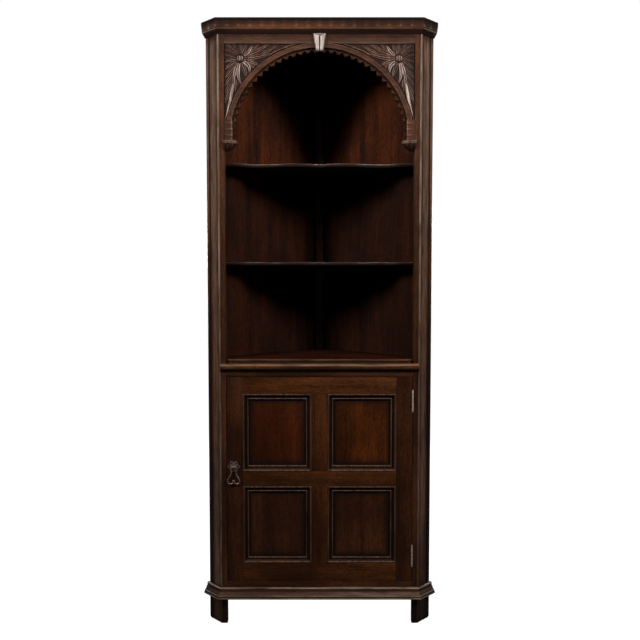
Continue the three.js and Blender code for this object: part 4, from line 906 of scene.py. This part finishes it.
# Painted light and shade on the bed moulding: dark below, a highlight on its upper arris.
bed_heights = [0, 3, 5, 9, 11, 13, 14.6, 16]
bed_relief = np.interp(cornice_profile[:, 1], bed_heights, [-1.2, -1.2, -1.0, -0.7, -0.65, 0.2, 0.9, -0.5])
for length, wood in enumerate((oak_cant_right, oak_across, oak_cant_left)):
    name = length_names[length]
    stations = 560 if name == "front" else 90
    rows = mitred_rows(cornice_profile, cornice_low, length, stations, flutes)
    whole = np.hypot(*(plan_corners[length + 1] - plan_corners[length]))
    hollows = flutes(np.linspace(0, whole, stations)[:, None], whole, cornice_profile)
    band_relief = 0.35 + 0.45 * hollows / flute_depth - shade_under_top_board
    make_length(f"cornice_length_{name}", rows, "carcass", wood, f"cornice_{name}",
                np.where(cornice_profile[:, 1] > band_low, band_relief, bed_relief), board=9 + length)
oak_edge = oak("oak top board", (16, 9, 5), (56, 34, 22), (60, 48, 40), "x", polish=0.02, rough=0.5)
top_board = eased_copy("top_board", 1.4, "carcass", oak_edge, board=12.2).data
top_points = np.empty(len(top_board.vertices) * 3, np.float32)
top_board.vertices.foreach_get("co", top_points)
on_top = top_points[2::3] > top_points[2::3].mean()
top_board.attributes["relief"].data.foreach_set("value", np.where(on_top, -0.35, -2.2).astype(np.float32))

# Door: two stiles, three rails and two muntins of oak, with pegless stub tenons in grooves, and
# four thin flat panels. Each is its own board with eased arrises.
oak_door_stile = oak("oak door stile", (28, 13, 6), (84, 44, 22), (120, 88, 66), polish=0.03)
oak_door_up = oak("oak door, upright grain", (36, 16, 6), (100, 54, 22), (126, 92, 70), polish=0.03)
oak_door_across = oak("oak door, level grain", (36, 17, 5), (104, 57, 25), (126, 92, 70), "x", polish=0.03)
for wood, first_board, nodes in (
    (oak_door_stile, 4.4, ("door_stile_left", "door_stile_right")),
    (oak_door_up, 6.6, ("door_muntin_upper", "door_muntin_lower")),
    (oak_door_across, 3.7, ("door_top_rail", "door_middle_rail", "door_bottom_rail")),
):
    for order, node in enumerate(nodes):
        eased_copy(node, 0.7, "door", wood, board=first_board + order)


def solid_box(node):
    """The low and high corners of a solid in millimetres: across, behind the front plane, up."""
    return [np.array(corner) * 1000 + [0, front_plane * 1000, 0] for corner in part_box(node)]


panel_tints = {"red": ((36, 13, 4), (90, 39, 13)), "golden": ((38, 16, 4), (106, 52, 15)),
               "dark": ((34, 16, 8), (90, 48, 24))}
oak_panel = {tint: oak(f"oak panel, {tint}", *stain, (110, 76, 54), polish=0.02)
             for tint, stain in panel_tints.items()}
panel_steps = np.sin(np.linspace(-np.pi / 2, np.pi / 2, 49)) / 2 + 0.5
panel_places = {"upper_left": "red", "upper_right": "golden", "lower_left": "dark", "lower_right": "dark"}
for order, (place, tint) in enumerate(panel_places.items()):
    low, high = solid_box(f"panel_{place}")
    across = panel_steps * (high[0] - low[0] - 0.1) + low[0] + 0.05
    up = panel_steps * (high[2] - low[2] - 0.1) + low[2] + 0.05
    face = grid_rows(across, low[1] + 0.02, up[:, None])
    rows = np.concatenate([face, (face * [1, 0, 1] + [0, high[1] - 0.02, 0])[:, [-1, 0]]], 1)
    margin = np.minimum(np.minimum(across - across[0], across[-1] - across)[None, :],
                        np.minimum(up - up[0], up[-1] - up)[:, None])
    # The panel is darker in a band along its edges by the moulding: painted shade and dirt.
    edge_shade_and_dirt = -1.3 * np.exp(-((np.maximum(margin - 25, 0) / 14) ** 1.8))
    make_length(f"panel_board_{place}", rows, "door", oak_panel[tint], f"panel_{place}",
                np.pad(edge_shade_and_dirt, ((0, 0), (0, 2))), board=8.1 + 1.7 * order)

# Panel mouldings: a small oak ovolo, fillet and hollow mitred round the sunk face of each panel.
# Their beads are painted with highlights, strongest along the foot of a panel where light from above falls,
# and their hollows are painted dark, also by side.
oak_bead = oak("oak bead", (26, 12, 5), (70, 38, 18), (132, 102, 84), polish=0.06)
moulding_profile = eased_outline([
    (0, -8.7, 0), (0, 1, 0.5), (1, 2, 1.2), (3.2, 2, 1.2), (4.6, 0.8, 2), (5.6, -2.6, 2), (7.2, -5.2, 2),
    (9.6, -6.6, 2), (12, -6.4, 1), (13.2, -4.2, 1), (14.6, -2.9, 1.5), (16.2, -3.4, 1.5), (17.3, -5.4, 1),
    (17.5, -8.7, 0),
], steps=4)
inset, outset = moulding_profile.T
moulding_relief = outline_relief(moulding_profile) - 0.7 * (outset < -4.6)
signs = np.array([(-1, -1), (1, -1), (1, 1), (-1, 1)])
near = np.array([0, 0.02, 0.98])[None, :, None]
ring = ((1 - near) * signs[:, None] + near * np.roll(signs, -1, 0)[:, None]).reshape(-1, 2)
# Painted highlights by side, strongest along the foot, and painted shade in the hollows by side.
side_light = np.array([0.9, 1.5, 1.5, 0.9, 0.6, 0.6, 0.9, 0.8, 0.8, 0.8, 0.5, 0.5])[:, None]
side_shade = np.array([0.6, 0.3, 0.3, 0.6, 0.9, 0.9, 1, 1, 1, 1, 0.8, 0.8])[:, None]
moulding_relief = np.where(moulding_relief > 0, side_light, side_shade) * moulding_relief
moulding_faces = grid_faces(len(ring), len(moulding_profile), closed=True)
for level_name, level_board in (("upper", 594 / 300), ("lower", 309.5 / 300)):
    for side_name, side in (("left", -1), ("right", 1)):
        place = f"{level_name}_{side_name}"
        low, high = solid_box(f"panel_moulding_{place}")
        middle, half = (low + high) / 2, (high - low) / 2
        rows = grid_rows(middle[0] + ring[:, :1] * (half[0] - inset), -outset,
                         middle[2] + ring[:, 1:] * (half[2] - inset))
        make_piece(f"moulding_{place}", rows, moulding_faces, "door", oak_bead,
                   f"panel_moulding_{place}", relief=moulding_relief.ravel(), board=side + level_board)

# Hinges: dull brass butts let into the post and the stile, each leaf held by three slotted
# screws.


def old_metal(name, colour, dark, roughness, mottle, metallic=1.0):
    """Metal with a mottled tarnish: noise mixes a dark skin over the bright colour and dulls it."""
    material = bpy.data.materials.new(name)
    material.use_nodes = True
    own = material.node_tree
    place = add_node(own, "TexCoord")["Object"]
    noise = add_node(own, "TexNoise", {"Vector": place, "Scale": mottle, "Detail": 5})["Fac"]
    spread = add_node(own, "MapRange", {"Value": noise, "From Min": 0.35, "From Max": 0.62})["Result"]
    skin = add_node(own, "Mix", {0: spread, 6: srgb(*dark), 7: srgb(*colour)}, data_type="RGBA")
    dull = add_node(own, "MapRange", {"Value": spread, "To Min": roughness + 0.2, "To Max": roughness})
    bump = add_node(own, "Bump", {"Strength": 0.4, "Distance": 0.0003, "Height": noise})
    feed(own, own.nodes["Principled BSDF"], {
        "Base Color": skin[2], "Roughness": dull["Result"], "Normal": bump["Normal"],
        "Metallic": metallic})
    return material


def screw_heads(name, centres, outward, body, material, size=3.2):
    """Slotted heads on a plane. Each is a low dome over rings of a disc, less a trough across
    the middle, closed by a flat back."""
    outward = np.asarray(outward, float)
    side = np.array([outward[1], -outward[0], 0.0])
    up = np.array([0.0, 0, 1])
    rings = np.array([1, 1, 0.93, 0.75, 0.5, 0.3, 0.15, 0.02])
    round_steps = 28
    theta = np.linspace(0, 2 * np.pi, round_steps, endpoint=False)
    u = rings[:, None] * np.cos(theta)[None, :]
    v = rings[:, None] * np.sin(theta)[None, :]
    rise = 0.16 + 0.1 * np.sqrt(1 - rings**2)[:, None] - 0.22 * (np.abs(u * 0.6 + v * 0.8) < 0.16)
    rise[0] = -0.25
    head = (u[..., None] * side + v[..., None] * up) * size + rise[..., None] * outward
    count = len(rings) * round_steps
    quads = grid_faces(len(rings), round_steps)
    caps = (np.arange(round_steps)[::-1], np.arange(round_steps) + count - round_steps)
    points = np.concatenate([head.reshape(-1, 3) + c for c in centres])
    faces = np.concatenate([quads + k * count for k in range(len(centres))])
    ends = [cap + k * count for k in range(len(centres)) for cap in caps]
    make_piece(name, points, faces, body, material, ends=ends, sharp=30)


brass = old_metal("tarnished brass", (196, 174, 158), (156, 134, 118), 0.45, 160, 0.4)
hinge_x = 283.25
leaf_thickness = 0.3
hinge_parts = (("post_leaf", 0.25, "carcass"), ("pin", 0.3, "carcass"), ("door_leaf", 0.25, "door"))
for level_name in ("lower", "upper"):
    hinge = f"hinge_{level_name}_"
    hinge_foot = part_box(hinge + "post_leaf")[0].z * 1000
    for part, width, body in hinge_parts:
        eased_copy(hinge + part, width, body, brass)
    for leaf, body, side in (("post", "carcass", 1), ("door", "door", -1)):
        holes = [(hinge_x + side * leaf_thickness, depth, hinge_foot + rise)
                 for depth, rise in ((9, 10), (11.5, 31), (9, 52))]
        screw_heads(f"{hinge}{leaf}_screws", holes, (-side, 0, 0), body, brass)

# Drop handle: a pierced, lobed back plate, a post with two ears, and a heart-shaped loop that hangs on a pin
# between them. All of it is mottled dark bronze, but for a steel nut.
bronze = old_metal("dark bronze", (170, 146, 134), (30, 23, 20), 0.26, 420, 0.7)
steel = old_metal("plain steel", (150, 148, 144), (92, 88, 84), 0.3, 200)
pivot = np.array([-261.95, -7.1, 489.5])
loop_half_width, loop_drop = 19, 51
for part, width, segments in (("plate", 0.5, 3), ("post", 0.4, 2), ("pin", 0.3, 2)):
    eased_copy("handle_" + part, width, "door", bronze, segments=segments)
eased_copy("handle_nut", 0.5, "door", steel)
half_loop = np.array([
    (0.22, -0.03), (0.37, -0.14), (0.4, -0.36), (0.6, -0.55), (0.95, -0.76), (0.9, -0.93), (0.55, -1.02),
    (0.2, -0.97), (0, -0.88),
]) * [loop_half_width, loop_drop]
loop = np.concatenate([half_loop, half_loop[-2::-1] * [-1, 1]])


def smooth_line(points, per_span):
    """A Catmull-Rom curve through points: each span blends four neighbours by cubics."""
    padded = np.concatenate([[2 * points[0] - points[1]], points, [2 * points[-1] - points[-2]]])
    t = np.linspace(0, 1, per_span, endpoint=False)[None, :, None]
    p0, p1, p2, p3 = (padded[k:len(padded) - 3 + k][:, None] for k in range(4))
    square = (2 * p0 - 5 * p1 + 4 * p2 - p3) * t**2
    cube = (3 * p1 - p0 - 3 * p2 + p3) * t**3
    curve = 0.5 * (2 * p1 + (p2 - p0) * t + square + cube)
    return np.concatenate([curve.reshape(-1, points.shape[1]), points[-1:]])


line = smooth_line(loop, 9)
ahead = np.gradient(line, axis=0)
ahead = ahead / np.hypot(*ahead.T)[:, None]
aside = np.stack([-ahead[:, 1], ahead[:, 0]], 1)
theta = np.linspace(0, 2 * np.pi, 16, endpoint=False)
lowness = np.clip(-line[:, 1] / loop_drop, 0, 1)
thickness = (1.9 + 0.3 * lowness**2)[:, None]
in_plane = line[:, None] + (np.cos(theta) * thickness)[..., None] * aside[:, None]
rows = grid_rows(in_plane[..., 0], np.sin(theta) * thickness, in_plane[..., 1]) + pivot
make_length("handle_loop", rows, "handle_drop", bronze, "handle_drop")


def turned(name, profile, centre, along, body, material):
    """Turns a closed outline of distance along and radius round a level or upright axis."""
    along = np.asarray(along, float)
    first_way = np.array([0.0, 1, 0])
    second_way = np.cross(along, first_way)
    spin = np.linspace(0, 2 * np.pi, 24, endpoint=False)
    way = np.cos(spin)[:, None, None] * first_way + np.sin(spin)[:, None, None] * second_way
    rows = centre + profile[:, :1] * along + profile[:, 1:] * way
    make_piece(name, rows, grid_faces(len(spin), len(profile), closed=True), body, material)


barrel = eased_outline([
    (-6, 1.3, 0), (-6, 3.1, 0.6), (-3, 3.4, 1), (0, 3.1, 1), (3, 3.4, 1), (6, 3.1, 0.6), (6, 1.3, 0),
])
turned("handle_loop_barrel", barrel, pivot, (1, 0, 0), "handle_drop", bronze)
ball_turn = np.linspace(0, np.pi, 14)
ball = np.stack([-3.2 * np.cos(ball_turn), 0.02 + 3.0 * np.sin(ball_turn)], 1)
turned("handle_loop_ball", ball, pivot + [0, 0, -42.5], (0, 0, 1), "handle_drop", bronze)

# Catch: a steel ball catch screwed under the waist board, and its strike plate held on the back
# of the door by two slotted screws.
eased_copy("catch_case", 0.5, "carcass", steel)
eased_copy("strike_plate", 0.3, "door", steel)
strike_screw_height = 752
low, high = solid_box("strike_plate")
strike_holes = [(x, high[1], strike_screw_height) for x in (low[0] + 5, high[0] - 5)]
screw_heads("strike_screws", strike_holes, (0, 1, 0), "door", steel, size=2.6)
